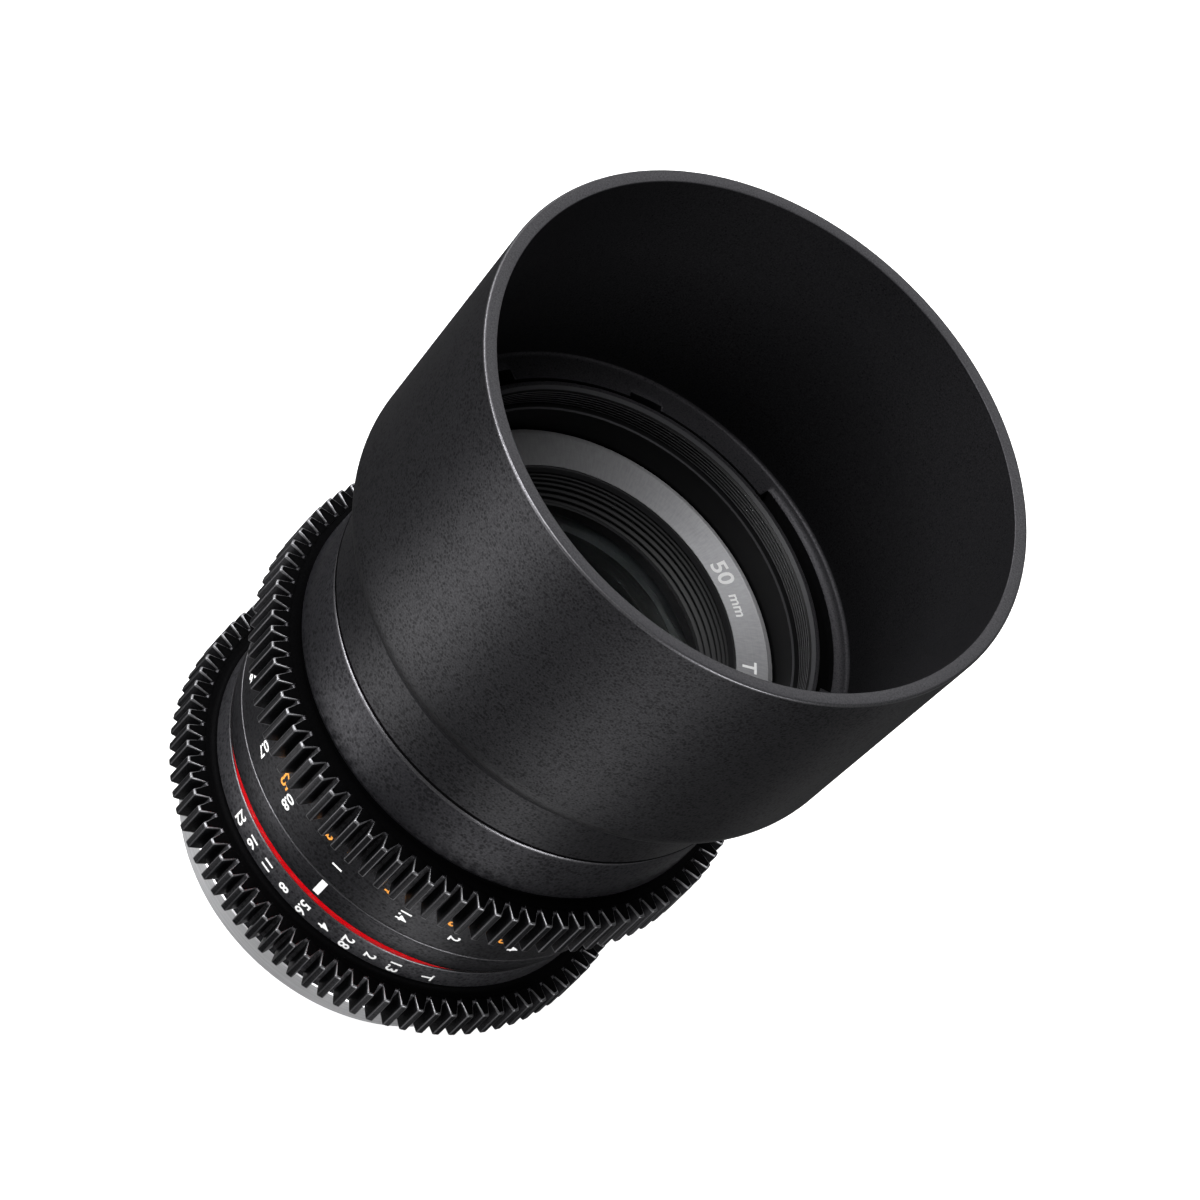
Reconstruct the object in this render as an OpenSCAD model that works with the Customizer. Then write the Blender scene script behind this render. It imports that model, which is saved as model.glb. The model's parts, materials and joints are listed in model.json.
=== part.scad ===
// Cinema prime lens with geared focus and iris rings and a fitted round hood.
// The optical axis is Z, +Z runs to the front, and z = 0 is the mount's flange face.

/* [Mount] */
// How far the mount flange stands out past the rear barrel
mount_lip = 0.06; // [0.02:0.02:0.2]
// Thickness of the mount flange
mount_t = 3.9; // [3.4:0.1:4.8]
// Outer radius of the bayonet spigot
spigot_r = 21.6; // [21.2:0.1:22]
// Length of the spigot behind the flange face
spigot_l = 5; // [4.4:0.1:6]
// Wall of the bayonet spigot
mount_wall = 2; // [1.6:0.1:2.4]
// Radial reach of a bayonet claw
claw_h = 1.7; // [1.2:0.1:2]
// Thickness of a claw along the axis
claw_t = 1.4; // [1:0.1:1.8]
// Space between the flange face and the claws
claw_gap = 1.3; // [1:0.1:1.6]
// Angle that each claw covers
claw_arc = 46; // [30:1:60]
// Radius of the locking pin's hole in the flange
lock_r = 1.5; // [1:0.1:1.8]
// Opening radius of the rear baffle
rear_baffle_r = 16.5; // [15:0.1:18]

/* [Rear barrel] */
// How far the rear barrel lies below the guide tube's surface
rear_step = 0.15; // [0.1:0.05:0.4]
// Length of the rear barrel
rear_l = 5.45; // [5:0.05:6.4]
// Width of the land inside the rear barrel that the mount screws into
rear_land = 3.3; // [3:0.1:3.6]
// Height of the flange that holds the iris ring
rear_flange_h = 1.8; // [1.2:0.1:2.4]

/* [Guide tube] */
// Bore radius of the guide tube
tube_bore_r = 26.2; // [25.8:0.05:26.5]
// Wall of the guide tube
tube_wall = 2.15; // [1.8:0.05:2.4]
// Radius of a cam follower
follower_r = 1.5; // [1.2:0.05:1.7]
// Angle of the first cam follower
follower_a = 30; // [0:1:60]

/* [Gears] */
// Module of both follow gears
gear_m = 0.8; // [0.78:0.01:0.82]
// Depth of a tooth
tooth_h = 2.2; // [1.8:0.05:2.3]
// Width of a tooth at its tip
tooth_tip_w = 0.9; // [0.7:0.05:1.1]
// Width of a tooth at its root
tooth_root_w = 1.85; // [1.5:0.05:2]
// Chamfer on the ends of the teeth
tooth_chamfer = 0.25; // [0.1:0.05:0.5]

/* [Iris ring] */
// Wall of the iris ring under its numbers
iris_wall = 1.8; // [1.6:0.05:2.1]
// Height of the iris gear's tips above the number band
iris_gear_h = 4.2; // [3.8:0.1:4.6]
// Face width of the iris gear
iris_gear_w = 5.9; // [5.4:0.1:6.6]
// Width of the iris ring's number band
iris_band_w = 4.6; // [4.2:0.1:5.4]
// Turn of the iris ring from rest to fully open
iris_open_turn = 27.2; // [24:0.2:28]
// Turn of the iris ring from rest to fully closed
iris_close_turn = 27; // [24:0.2:28]
// Radius of the iris drive pin
iris_pin_r = 1; // [0.8:0.05:1.2]

/* [Index and accent rings] */
// Width of the red accent ring
accent_w = 1.55; // [1.2:0.05:2]
// Wall of the accent ring at its rear edge
accent_wall = 1.88; // [1.7:0.01:2]
// Width of the index ring
index_w = 5.2; // [4.8:0.1:6]
// Wall of the index ring at its rear edge
index_rear_wall = 2.31; // [2.1:0.01:2.5]
// Wall of the index ring at its front edge
index_front_wall = 3.47; // [3.1:0.01:3.8]

/* [Focus ring] */
// Wall of the cam tube inside the focus ring
cam_wall = 1.5; // [1.2:0.05:1.6]
// Wall of the focus ring's front barrel
focus_wall = 2.38; // [2.2:0.02:2.6]
// Wall of the focus ring under the rear edge of its distance scale
scale_rear_wall = 1.94; // [1.7:0.02:2.2]
// Wall of the focus ring under the scale's edge at the gear
scale_front_wall = 2.18; // [1.9:0.02:2.5]
// Width of the distance scale
scale_w = 9.95; // [9:0.05:11]
// Height of the focus gear's tips above the smooth barrel
focus_gear_h = 3.7; // [3.3:0.1:4.1]
// Face width of the focus gear
focus_gear_w = 7.3; // [6.8:0.1:8]
// Width of the neck in front of the gear
neck_w = 0.7; // [0.5:0.05:1]
// Depth of the neck in front of the gear
neck_h = 0.8; // [0.4:0.05:1]
// Width of the smooth front barrel of the focus ring
focus_barrel_w = 10.5; // [10:0.1:12]
// Turn of the focus ring from rest to infinity
focus_far_turn = 65.6; // [60:0.2:68]
// Turn of the focus ring from rest to its nearest distance
focus_near_turn = 87.6; // [80:0.2:90]
// Travel of the focus unit for a full turn
cam_lead = 16; // [15:0.1:16.4]

/* [Front barrel] */
// Radial room between the guide tube and the front barrel's bore
front_room = 0.85; // [0.7:0.05:1]
// Radial step from that bore up to the filter thread
filter_step = 1.3; // [1.1:0.05:1.5]
// Wall of the front barrel round the filter thread
filter_wall = 1.2; // [1.05:0.05:1.4]
// Length of the front barrel
front_l = 17.6; // [17:0.1:18.4]
// Length of the filter thread
filter_l = 3.5; // [3:0.1:4]
// Depth of the name ring behind the front rim
name_depth = 7.7; // [7.2:0.1:8.4]

/* [Hood] */
// Length of the hood
hood_l = 56.2; // [54:0.1:60]
// Width of the hood's floor
hood_floor_w = 4.3; // [3.8:0.05:4.8]
// How far the inside of the hood widens to its rim
hood_flare = 2.1; // [1.8:0.05:2.6]
// Wall of the hood at its rim
hood_rim_wall = 1.92; // [1.6:0.02:2.4]
// Wall of the hood where its shoulder begins
hood_root_wall = 2.37; // [2.1:0.01:2.7]
// Distance of the shoulder from the hood's rear edge
shoulder_z = 18; // [17.6:0.1:18.6]
// Radius of the convex shoulder
shoulder_r = 6.6; // [6.2:0.05:7]
// Wall of the hood's rear band below the shoulder
band_top_wall = 1.2; // [1:0.05:1.4]
// Wall of the hood at its rear edge
band_end_wall = 0.75; // [0.65:0.01:0.9]
// Distance of the hood's floor from its rear edge
hood_floor_z = 17.2; // [17:0.1:17.6]
// Inward reach of a hood tab
tab_h = 0.65; // [0.5:0.01:0.7]
// Thickness of a hood tab
tab_t = 2.2; // [1.8:0.1:2.6]
// Angle that each hood tab covers
tab_arc = 53; // [40:1:54]
// Turn that frees the hood
hood_turn = 56.5; // [54:0.5:57]

/* [Optical cells] */
// Wall of the focus sleeve
sleeve_wall = 1.75; // [1.5:0.05:1.85]
// How far the name ring reaches in over the front cell
name_lip = 1.02; // [0.9:0.02:1.1]
// Height of a ridge in the front baffle
ridge_h = 0.35; // [0.2:0.05:0.5]
// Number of ridges in the front baffle
ridge_n = 6; // [4:1:8]

/* [Iris] */
// Number of iris blades
blade_n = 9; // [9:1:9]
// Radius of the fully open iris
open_r = 13.4; // [13:0.05:13.6]
// Radius of the fully closed iris
closed_r = 0.8; // [0.6:0.05:1.2]
// Distance of the blade pivots from the iris case's wall
pivot_inset = 3.3; // [3.1:0.05:3.6]
// Thickness of an iris blade
blade_t = 0.12; // [0.08:0.01:0.14]
// Step between one blade and the next along the axis
blade_step = 0.2; // [0.18:0.01:0.22]
// Angle that an iris blade covers
blade_arc = 112; // [100:1:116]
// Radius of the blade pins
blade_pin_r = 0.4; // [0.35:0.01:0.45]

/* [Fits] */
// Radial clearance of a running fit
run_gap = 0.05; // [0.03:0.01:0.1]
// Radial clearance of a seated fit
seat_gap = 0.02; // [0.01:0.01:0.04]
// Clearance between faces that turn past each other
face_gap = 0.15; // [0.1:0.05:0.25]

/* [Hidden] */
$fn = 96;
eps = 0.5;

// Stations along the axis, each stacked on the one behind it
rear_z = mount_t;
flange_room = 0.1;
iris_z = rear_z + rear_l + face_gap + flange_room;
iris_band_z = iris_z + iris_gear_w;
iris_end_z = iris_band_z + iris_band_w;
accent_z = iris_end_z + face_gap;
index_z = accent_z + accent_w;
index_end_z = index_z + index_w;
focus_z = index_end_z + face_gap;
focus_gear_z = focus_z + scale_w;
neck_z = focus_gear_z + focus_gear_w;
focus_barrel_z = neck_z + neck_w;
focus_end_z = focus_barrel_z + focus_barrel_w;
front_z = focus_end_z + 2 * face_gap;
front_end_z = front_z + front_l;
hood_z = front_z + face_gap;
hood_end_z = hood_z + hood_l;
name_z = front_end_z - name_depth;

// Radii, each stacked on the one inside it
tube_r = tube_bore_r + tube_wall;
rear_r = tube_r - rear_step;
rear_flange_r = rear_r + rear_flange_h;
rear_bore_r = tube_bore_r - rear_land;
mount_r = rear_r + mount_lip;
mount_bore_r = spigot_r - mount_wall;
spigot_wall = 1;
tube_spigot_r = tube_bore_r + spigot_wall;
on_tube_r = tube_r + seat_gap;
cam_bore_r = tube_r + run_gap;
cam_r = cam_bore_r + cam_wall;
focus_bore_r = cam_r + seat_gap;
focus_r = focus_bore_r + focus_wall;
iris_bore_r = tube_r + run_gap;
iris_r = iris_bore_r + iris_wall;
accent_r = on_tube_r + accent_wall;
index_rear_r = on_tube_r + index_rear_wall;
index_front_r = on_tube_r + index_front_wall;
scale_rear_r = focus_bore_r + scale_rear_wall;
scale_front_r = focus_bore_r + scale_front_wall;
iris_teeth = round(2 * (iris_r + iris_gear_h) / gear_m) - 2;
focus_teeth = round(2 * (focus_r + focus_gear_h) / gear_m) - 2;
sleeve_r = tube_bore_r - run_gap;
sleeve_bore_r = sleeve_r - sleeve_wall;
cell_r = sleeve_bore_r - seat_gap;
name_bore_r = cell_r - name_lip;
rear_cell_room = 1;
rear_cell_r = mount_bore_r - rear_cell_room;
front_bore_r = tube_r + front_room;
filter_r = front_bore_r + filter_step;
front_r = filter_r + filter_wall;
name_r = front_bore_r - 0.3;
hood_bore_r = front_r + 2 * run_gap;
hood_floor_r = hood_bore_r + hood_floor_w;
hood_mouth_r = hood_floor_r + hood_flare;
hood_rim_r = hood_mouth_r + hood_rim_wall;
hood_wall_r = hood_floor_r + hood_root_wall;
band_top_r = hood_bore_r + band_top_wall;
band_end_r = hood_bore_r + band_end_wall;

// Travel of the focus unit each way from rest
far_travel = cam_lead * focus_far_turn / 360;
near_travel = cam_lead * focus_near_turn / 360;

// Guide tube
tube_z = rear_z + 1.6;
tube_shoulder_z = rear_z + rear_l;
tube_end_z = front_z + 4.1;
follower_z = neck_z - 0.4;
follower_n = 3;
follower_tip_r = cam_r - run_gap;

// Cam flange and its screws
cam_z = focus_z + 2;
cam_flange_t = 1.2;
cam_flange_z = focus_end_z - 0.8 - cam_flange_t;
cam_flange_r = focus_bore_r + 1.35;
cam_screw_n = 4;
cam_screw_r = 0.5;
cam_screw_head_r = 0.65;
cam_screw_pcr = (focus_bore_r + cam_flange_r) / 2;
cam_screw_l = 3.5;

// Mount screws
mount_screw_n = 4;
mount_screw_a = 45;
mount_screw_r = 0.7;
mount_screw_head_r = 1.4;
mount_screw_head_t = 0.9;
mount_screw_end_z = rear_z + 3.4;
mount_screw_room = 0.2;
mount_screw_pcr = (rear_bore_r + tube_bore_r) / 2;
rear_inner_z = rear_z + rear_l - 1.05;
mount_dot_r = 1.1;
mount_dot_a = 110;
mount_dot_t = 0.9;
mount_dot_z = rear_z + 1.7;

// Front barrel screws
barrel_screw_r = 0.7;
barrel_screw_head_r = 1.3;
barrel_screw_head_t = 0.8;
barrel_screw_top_r = front_r - 0.1;
barrel_screw_z = (front_z + tube_end_z) / 2;
barrel_screw_a = 90;

// Hood tabs, their moulding slots and the groove that they turn in
tab_a = [25, 154, 269];
slot_margin = 1;
tab_inset = 10.8;
tab_z = hood_z + tab_inset;
slot_h = 2;
slot_z = tab_z + tab_t + 0.6;
groove_gap = 0.2;
groove_r = front_r - tab_h;
stop_gap = 1;
notch_a = 112;
notch_arc = 8;

// Lens table, front to rear: front radius, rear radius, thickness, gap behind, and then
// the edge and the clear width of the front and the rear face as shares of the cell's radius.
// A positive radius swells to the front. The last five lenses sit in the rear cell.
cement = 0.02;
LENS = [
    [58, 220, 5.6, 0.5, 0.8778, 0.8778, 0.8778],
    [36, 75, 4.8, 1.6, 0.804, 0.804, 0.804],
    [75, -900, 3.2, cement, 0.7137, 0.7137, 0.7137],
    [-900, 26, 1.6, 15.58, 0.7137, 0.7137, 0.562],
    [-24, 150, 1.5, cement, 0.8172, 0.6613, 0.8172],
    [150, -38, 6, 0.6, 0.8172, 0.8172, 0.8172],
    [90, -70, 4.5, 0.6, 0.8602, 0.8602, 0.8602],
    [60, -200, 4, 2, 0.8602, 0.8602, 0.8602],
    [-60, -80, 2.2, 0, 0.8602, 0.8602, 0.8602]
];
front_lenses = 4;
function holder_r(i) = i < front_lenses ? cell_r : rear_cell_r;
first_vertex_z = name_z - 3.3;
function sag(r, x) = abs(r) - sqrt(r * r - x * x);
function vertex_front(i) =
    i == 0 ? first_vertex_z : vertex_rear(i - 1) - LENS[i - 1][3];
function vertex_rear(i) = vertex_front(i) - LENS[i][2];
// Height of a lens face at distance x from the axis
function front_at(i, x) = vertex_front(i) - sign(LENS[i][0]) * sag(LENS[i][0], x);
function rear_at(i, x) = vertex_rear(i) - sign(LENS[i][1]) * sag(LENS[i][1], x);
// Highest and lowest point of a lens
function lens_top(i) = max(vertex_front(i), front_at(i, clear_front(i)));
function lens_low(i) = min(vertex_rear(i), rear_at(i, clear_rear(i)));
function edge_r(i) = LENS[i][4] * holder_r(i);
function clear_front(i) = LENS[i][5] * holder_r(i);
function clear_rear(i) = LENS[i][6] * holder_r(i);
function seat_r(i) = edge_r(i) + seat_gap;

// Rings that hold the lenses, and the iris between the two groups
lip = 1.2;
ease = 0.06;
retainer_t = 1.7;
name_t = 1.55;
cell_end_z = name_z - name_t - seat_gap;
doublet_ledge_z = front_at(2, edge_r(2) - lip) + ease;
front_doublet_t = 0.9;
front_cell_z = lens_low(3) - front_doublet_t - 0.02;
front_lip_r = edge_r(0) - lip;
front_lip_z = front_at(0, front_lip_r) + ease;
baffle_z = front_lip_z + retainer_t + 0.1;
baffle_r = name_bore_r - 0.03;
baffle_small_r = edge_r(0) - 0.8;
plate_t = 1.3;
plate_z = front_cell_z - 0.2 - plate_t;
plate_bore_r = open_r + 0.6;
blade_gap = 0.1;
blade_z = plate_z - blade_gap - blade_n * blade_step;
cam_ring_t = 1.6;
cam_ring_z = blade_z - 0.15 - cam_ring_t;
iris_case_r = cell_r - 1.08;
pivot_r = iris_case_r - pivot_inset;
blade_w = pivot_r - open_r - 0.7;
iris_retainer_t = 1.4;
iris_retainer_z = cam_ring_z - face_gap - iris_retainer_t;
rear_cell_end_z = iris_retainer_z - 0.2;
rear_flange_t = 1.8;
rear_cell_z = vertex_rear(8) - 1.4;
rear_ledge_r = edge_r(5) - 1;
rear_ledge_low = rear_at(5, rear_ledge_r) - ease;
rear_ledge_high = front_at(6, rear_ledge_r) + ease;
sleeve_z = iris_band_z + iris_band_w + 1.9;

// Blade turn between open and closed, shared out along the iris ring's turn
function blade_swing(r) = 2 * asin((open_r - r) / (2 * pivot_r));
blade_ratio = blade_swing(closed_r) / (iris_open_turn + iris_close_turn);
blade_rest = blade_ratio * iris_open_turn;
blade_tail = 10;
blade_ear = 0.7;
cam_pin_gap = 0.1;
cam_ring_r = iris_case_r - 0.15;
pivot_depth = 0.9;
// Place of a blade's drive pin at a blade turn t, for a pivot on the X axis
function drive_pin(t) = [
    pivot_r + pivot_r * (cos(t - blade_tail) - cos(t)),
    pivot_r * (sin(t - blade_tail) - sin(t))
];

// Iris lever, which hangs from the cam ring and straddles the drive pin
lever_a = 90;
lever_w = 5;
lever_t = 1.3;
lever_r = iris_case_r - 0.2 - lever_t;
lever_foot_t = 0.7;
lever_foot_r = lever_r - 4.4;
iris_pin_z = iris_band_z + iris_band_w / 2;
iris_pin_end_r = iris_r - 0.3;
lever_z = iris_pin_z - near_travel - iris_pin_r - 0.6;
lever_slot_z = iris_pin_z + far_travel + iris_pin_r + 0.5;
lever_window = iris_open_turn + iris_close_turn + 2 * asin(lever_w / lever_r / 2) + 4;
lever_window_a = lever_a - iris_open_turn - asin(lever_w / lever_r / 2) - 2;
rivet_r = 0.45;
rivet_depth = 0.8;
rivet_pcr = lever_foot_r + 1;

black = "#2a2a2c";
dark = "#1b1b1d";
steel = "#b9bcc0";
brass = "#b08d4a";
glass = [0.35, 0.5, 0.5, 0.5];

// A turned solid from its [radius, height] outline
module turned(outline) rotate_extrude() polygon(outline);

module ring(r0, r1, z0, z1) turned([[r0, z0], [r1, z0], [r1, z1], [r0, z1]]);

// A block bent round the axis from angle a, covering arc degrees
module arc_block(r0, r1, z0, z1, a, arc)
    rotate([0, 0, a])
        rotate_extrude(angle = arc)
            polygon([[r0, z0], [r1, z0], [r1, z1], [r0, z1]]);

// A rod that points away from the axis
module radial_rod(r, r0, r1, z, a)
    rotate([0, 0, a])
        translate([r0, 0, z])
            rotate([0, 90, 0])
                cylinder(r = r, h = r1 - r0);

// A rod along the axis at polar place p, a
module axial_rod(r, z0, z1, p, a)
    rotate([0, 0, a])
        translate([p, 0, z0])
            cylinder(r = r, h = z1 - z0);

function polar(r, a) = [r * cos(a), r * sin(a)];
function arc_points(c, r, a0, a1, n) = [for (i = [0:n]) c + polar(r, a0 + (a1 - a0) * i / n)];

// Teeth of a follow gear, chamfered at both ends
function gear_tip(n) = gear_m * (n + 2) / 2;
function gear_points(n) = [
    for (i = [0:n - 1], s = [[-1, 0], [-1, 1], [1, 1], [1, 0]])
        let (
            r = gear_tip(n) - tooth_h * (1 - s[1]),
            w = s[1] == 1 ? tooth_tip_w : tooth_root_w
        )
        polar(r, i * 360 / n + s[0] * asin(w / r / 2))
];
module gear(n, z0, w)
    intersection() {
        translate([0, 0, z0])
            linear_extrude(w)
                polygon(gear_points(n));
        turned([
            [0, z0], [gear_tip(n) - tooth_chamfer, z0],
            [gear_tip(n) + eps, z0 + tooth_chamfer + eps],
            [gear_tip(n) + eps, z0 + w - tooth_chamfer - eps],
            [gear_tip(n) - tooth_chamfer, z0 + w], [0, z0 + w]
        ]);
    }

// A lens from the table, turned from its two faces
function lens_outline(i) =
    let (n = 12)
    concat(
        [for (k = [0:n]) let (x = clear_front(i) * k / n) [x, front_at(i, x)]],
        [[edge_r(i), front_at(i, clear_front(i))], [edge_r(i), rear_at(i, clear_rear(i))]],
        [for (k = [n:-1:0]) let (x = clear_rear(i) * k / n) [x, rear_at(i, x)]]
    );
module lens(i)
    color(glass)
        turned(lens_outline(i));

// A helical slot through the cam tube for one follower
function cam_point(a, turn, r, dz) =
    concat(polar(r, a - turn), [follower_z + cam_lead * turn / 360 + dz]);
module cam_slot(a) {
    half = follower_r + 0.15;
    over = asin((follower_r + 0.4) / cam_bore_r);
    t0 = -focus_far_turn - over;
    t1 = focus_near_turn + over;
    n = 32;
    section = [[cam_bore_r - 1, -half], [cam_r + 1, -half], [cam_r + 1, half], [cam_bore_r - 1, half]];
    points = [for (i = [0:n], s = section) cam_point(a, t0 + (t1 - t0) * i / n, s[0], s[1])];
    sides = [
        for (i = [0:n - 1], k = [0:3])
            let (p = 4 * i + k, q = 4 * i + (k + 1) % 4)
            each [[p, p + 4, q], [q, p + 4, q + 4]]
    ];
    ends = [[0, 1, 2], [0, 2, 3], [4 * n, 4 * n + 2, 4 * n + 1], [4 * n, 4 * n + 3, 4 * n + 2]];
    polyhedron(points = points, faces = concat(sides, ends));
}

module mount_ring()
    color(steel)
        difference() {
            union() {
                turned([
                    [mount_bore_r, -spigot_l], [spigot_r - 0.4, -spigot_l],
                    [spigot_r, -spigot_l + 0.4], [spigot_r, 0], [mount_r - 0.3, 0], [mount_r, 0.3],
                    [mount_r, mount_t - 0.3], [mount_r - 0.3, mount_t], [mount_bore_r, mount_t]
                ]);
                for (i = [0:2])
                    arc_block(
                        spigot_r - 0.2, spigot_r + claw_h, -claw_gap - claw_t, -claw_gap,
                        i * 120, claw_arc
                    );
            }
            for (i = [0:mount_screw_n - 1])
                mount_screw(mount_screw_a + i * 360 / mount_screw_n, seat_gap, mount_t + eps);
            axial_rod(
                lock_r, -eps, mount_t / 2, (spigot_r + claw_h + mount_r) / 2,
                mount_screw_a / 2 + 180
            );
        }

// A countersunk screw whose head is flush with the flange face
module mount_screw(a, gap, z1) {
    axial_rod(mount_screw_r + gap, 0, z1, mount_screw_pcr, a);
    rotate([0, 0, a])
        translate([mount_screw_pcr, 0, -gap])
            cylinder(
                r1 = mount_screw_head_r + gap, r2 = mount_screw_r + gap, h = mount_screw_head_t
            );
}
module mount_screws()
    color(steel)
        for (i = [0:mount_screw_n - 1])
            difference() {
                mount_screw(mount_screw_a + i * 360 / mount_screw_n, 0, mount_screw_end_z);
                for (t = [0, 90])
                    rotate([0, 0, mount_screw_a + i * 360 / mount_screw_n])
                        translate([mount_screw_pcr, 0, 0])
                            rotate([0, 0, t])
                                cube([1.6, 0.35, 0.9], center = true);
            }

module mount_dot()
    color("red")
        radial_rod(mount_dot_r, rear_r - mount_dot_t, rear_r + 0.05, mount_dot_z, mount_dot_a);

module rear_baffle()
    color(dark)
        turned([
            [rear_baffle_r, -spigot_l + 1], [rear_baffle_r + 1, -spigot_l + 0.2],
            [mount_bore_r - seat_gap, -spigot_l + 0.2], [mount_bore_r - seat_gap, -1],
            [mount_bore_r - 1.2, -1], [mount_bore_r - 1.2, -spigot_l + 1.8]
        ]);

module rear_barrel()
    color(black)
        difference() {
            turned([
                [rear_bore_r, rear_z], [rear_r, rear_z], [rear_r, tube_shoulder_z - 2.1],
                [rear_flange_r, tube_shoulder_z - 1.3], [rear_flange_r, tube_shoulder_z],
                [tube_spigot_r + seat_gap, tube_shoulder_z], [tube_spigot_r + seat_gap, tube_z],
                [tube_bore_r - seat_gap, tube_z], [tube_bore_r - seat_gap, rear_inner_z],
                [rear_bore_r, rear_inner_z]
            ]);
            for (i = [0:mount_screw_n - 1])
                axial_rod(
                    mount_screw_r + seat_gap, rear_z - eps, mount_screw_end_z + mount_screw_room,
                    mount_screw_pcr, mount_screw_a + i * 360 / mount_screw_n
                );
            radial_rod(
                mount_dot_r + seat_gap, rear_r - mount_dot_t - seat_gap, rear_r + 1,
                mount_dot_z, mount_dot_a
            );
        }

module guide_tube()
    color(black)
        difference() {
            turned([
                [tube_bore_r, tube_z], [tube_spigot_r, tube_z], [tube_spigot_r, tube_shoulder_z],
                [tube_r, tube_shoulder_z], [tube_r, tube_end_z], [tube_bore_r, tube_end_z]
            ]);
            for (i = [0:follower_n - 1])
                guide_slot(follower_a + i * 360 / follower_n);
            iris_slot();
            for (i = [0:2])
                radial_rod(
                    barrel_screw_r + seat_gap, tube_bore_r - 1, tube_r + 1, barrel_screw_z,
                    barrel_screw_a + i * 120
                );
        }
// A straight slot that lets a follower slide along the axis
module guide_slot(a) {
    low = follower_z - far_travel - 0.4;
    high = follower_z + near_travel + 0.4;
    rotate([0, 0, a])
        translate([tube_bore_r - 1, -follower_r - run_gap, low])
            cube([tube_wall + 2, 2 * (follower_r + run_gap), high - low]);
    for (z = [low, high])
        radial_rod(follower_r + run_gap, tube_bore_r - 1, tube_r + 1, z, a);
}
// An arc slot whose ends stop the iris drive pin
module iris_slot() {
    over = asin((iris_pin_r + 0.3) / tube_bore_r);
    arc_block(
        tube_bore_r - 1, tube_r + 1,
        iris_pin_z - iris_pin_r - 0.15, iris_pin_z + iris_pin_r + 0.15,
        lever_a - iris_open_turn - over, iris_open_turn + iris_close_turn + 2 * over
    );
}

module accent_ring()
    color("#d4000f")
        turned([
            [on_tube_r, accent_z], [accent_r, accent_z],
            [index_rear_r - 0.03, index_z], [on_tube_r, index_z]
        ]);

module index_ring()
    color(black)
        turned([
            [on_tube_r, index_z], [index_rear_r, index_z],
            [index_front_r, index_end_z - 0.2], [index_front_r - 0.2, index_end_z], [on_tube_r, index_end_z]
        ]);

module front_barrel()
    color(black)
        difference() {
            turned([
                [on_tube_r, front_z], [front_r, front_z], [front_r, front_end_z - 0.25],
                [front_r - 0.25, front_end_z], [filter_r + 0.4, front_end_z], [filter_r, front_end_z - 0.4],
                [filter_r, front_end_z - filter_l], [front_bore_r, front_end_z - filter_l],
                [front_bore_r, tube_end_z], [on_tube_r, tube_end_z]
            ]);
            hood_groove();
            for (i = [0:2])
                barrel_screw(barrel_screw_a + i * 120, seat_gap, front_r + eps);
        }
// A ring groove with one stop left in it, and an entry from the front for each tab
module hood_groove() {
    low = tab_z - groove_gap;
    high = tab_z + tab_t + groove_gap;
    stop_a = tab_a[1] - stop_gap;
    stop_arc = stop_a - (tab_a[0] + tab_arc + hood_turn + stop_gap);
    arc_block(groove_r - run_gap, front_r + 1, low, high, stop_a, 360 - stop_arc);
    for (a = tab_a)
        arc_block(
            groove_r - 2 * run_gap, front_r + 1, low + groove_gap, front_end_z + 1,
            a + hood_turn - stop_gap, tab_arc + 1.5 * stop_gap
        );
}

// A countersunk screw through the front barrel's wall
module barrel_screw(a, gap, r1) {
    radial_rod(barrel_screw_r + gap, tube_bore_r + 0.3 - gap, r1, barrel_screw_z, a);
    rotate([0, 0, a])
        translate([barrel_screw_top_r - barrel_screw_head_t, 0, barrel_screw_z])
            rotate([0, 90, 0])
                cylinder(
                    r1 = barrel_screw_r + gap, r2 = barrel_screw_head_r + gap,
                    h = barrel_screw_head_t + gap
                );
    if (gap > 0)
        radial_rod(barrel_screw_head_r + gap, barrel_screw_top_r + gap, r1, barrel_screw_z, a);
}
module barrel_screws()
    color(steel)
        for (i = [0:2])
            difference() {
                barrel_screw(barrel_screw_a + i * 120, 0, front_r - 0.3);
                rotate([0, 0, barrel_screw_a + i * 120])
                    translate([front_r, 0, barrel_screw_z])
                        cube([1, 0.35, 1.8], center = true);
            }

module focus_ring()
    color(black)
        difference() {
            union() {
                turned(concat(
                    [
                        [focus_bore_r, focus_z], [scale_rear_r - 0.15, focus_z],
                        [scale_rear_r, focus_z + 0.15], [scale_front_r, focus_gear_z],
                        [focus_r - neck_h, focus_gear_z],
                        [focus_r - neck_h, focus_barrel_z]
                    ],
                    arc_points([focus_r - neck_h, focus_barrel_z + neck_h], neck_h, -75, 0, 6),
                    [
                        [focus_r, focus_end_z - 0.35], [focus_r - 0.35, focus_end_z],
                        [cam_flange_r + seat_gap, focus_end_z], [cam_flange_r + seat_gap, cam_flange_z],
                        [focus_bore_r, cam_flange_z]
                    ]
                ));
                difference() {
                    gear(focus_teeth, focus_gear_z, focus_gear_w);
                    ring(0, focus_r - neck_h, focus_gear_z - 1, neck_z + 1);
                }
            }
            for (i = [0:cam_screw_n - 1])
                axial_rod(
                    cam_screw_r + seat_gap, cam_flange_z - cam_screw_l, cam_flange_z + eps, cam_screw_pcr,
                    i * 360 / cam_screw_n
                );
        }

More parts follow.
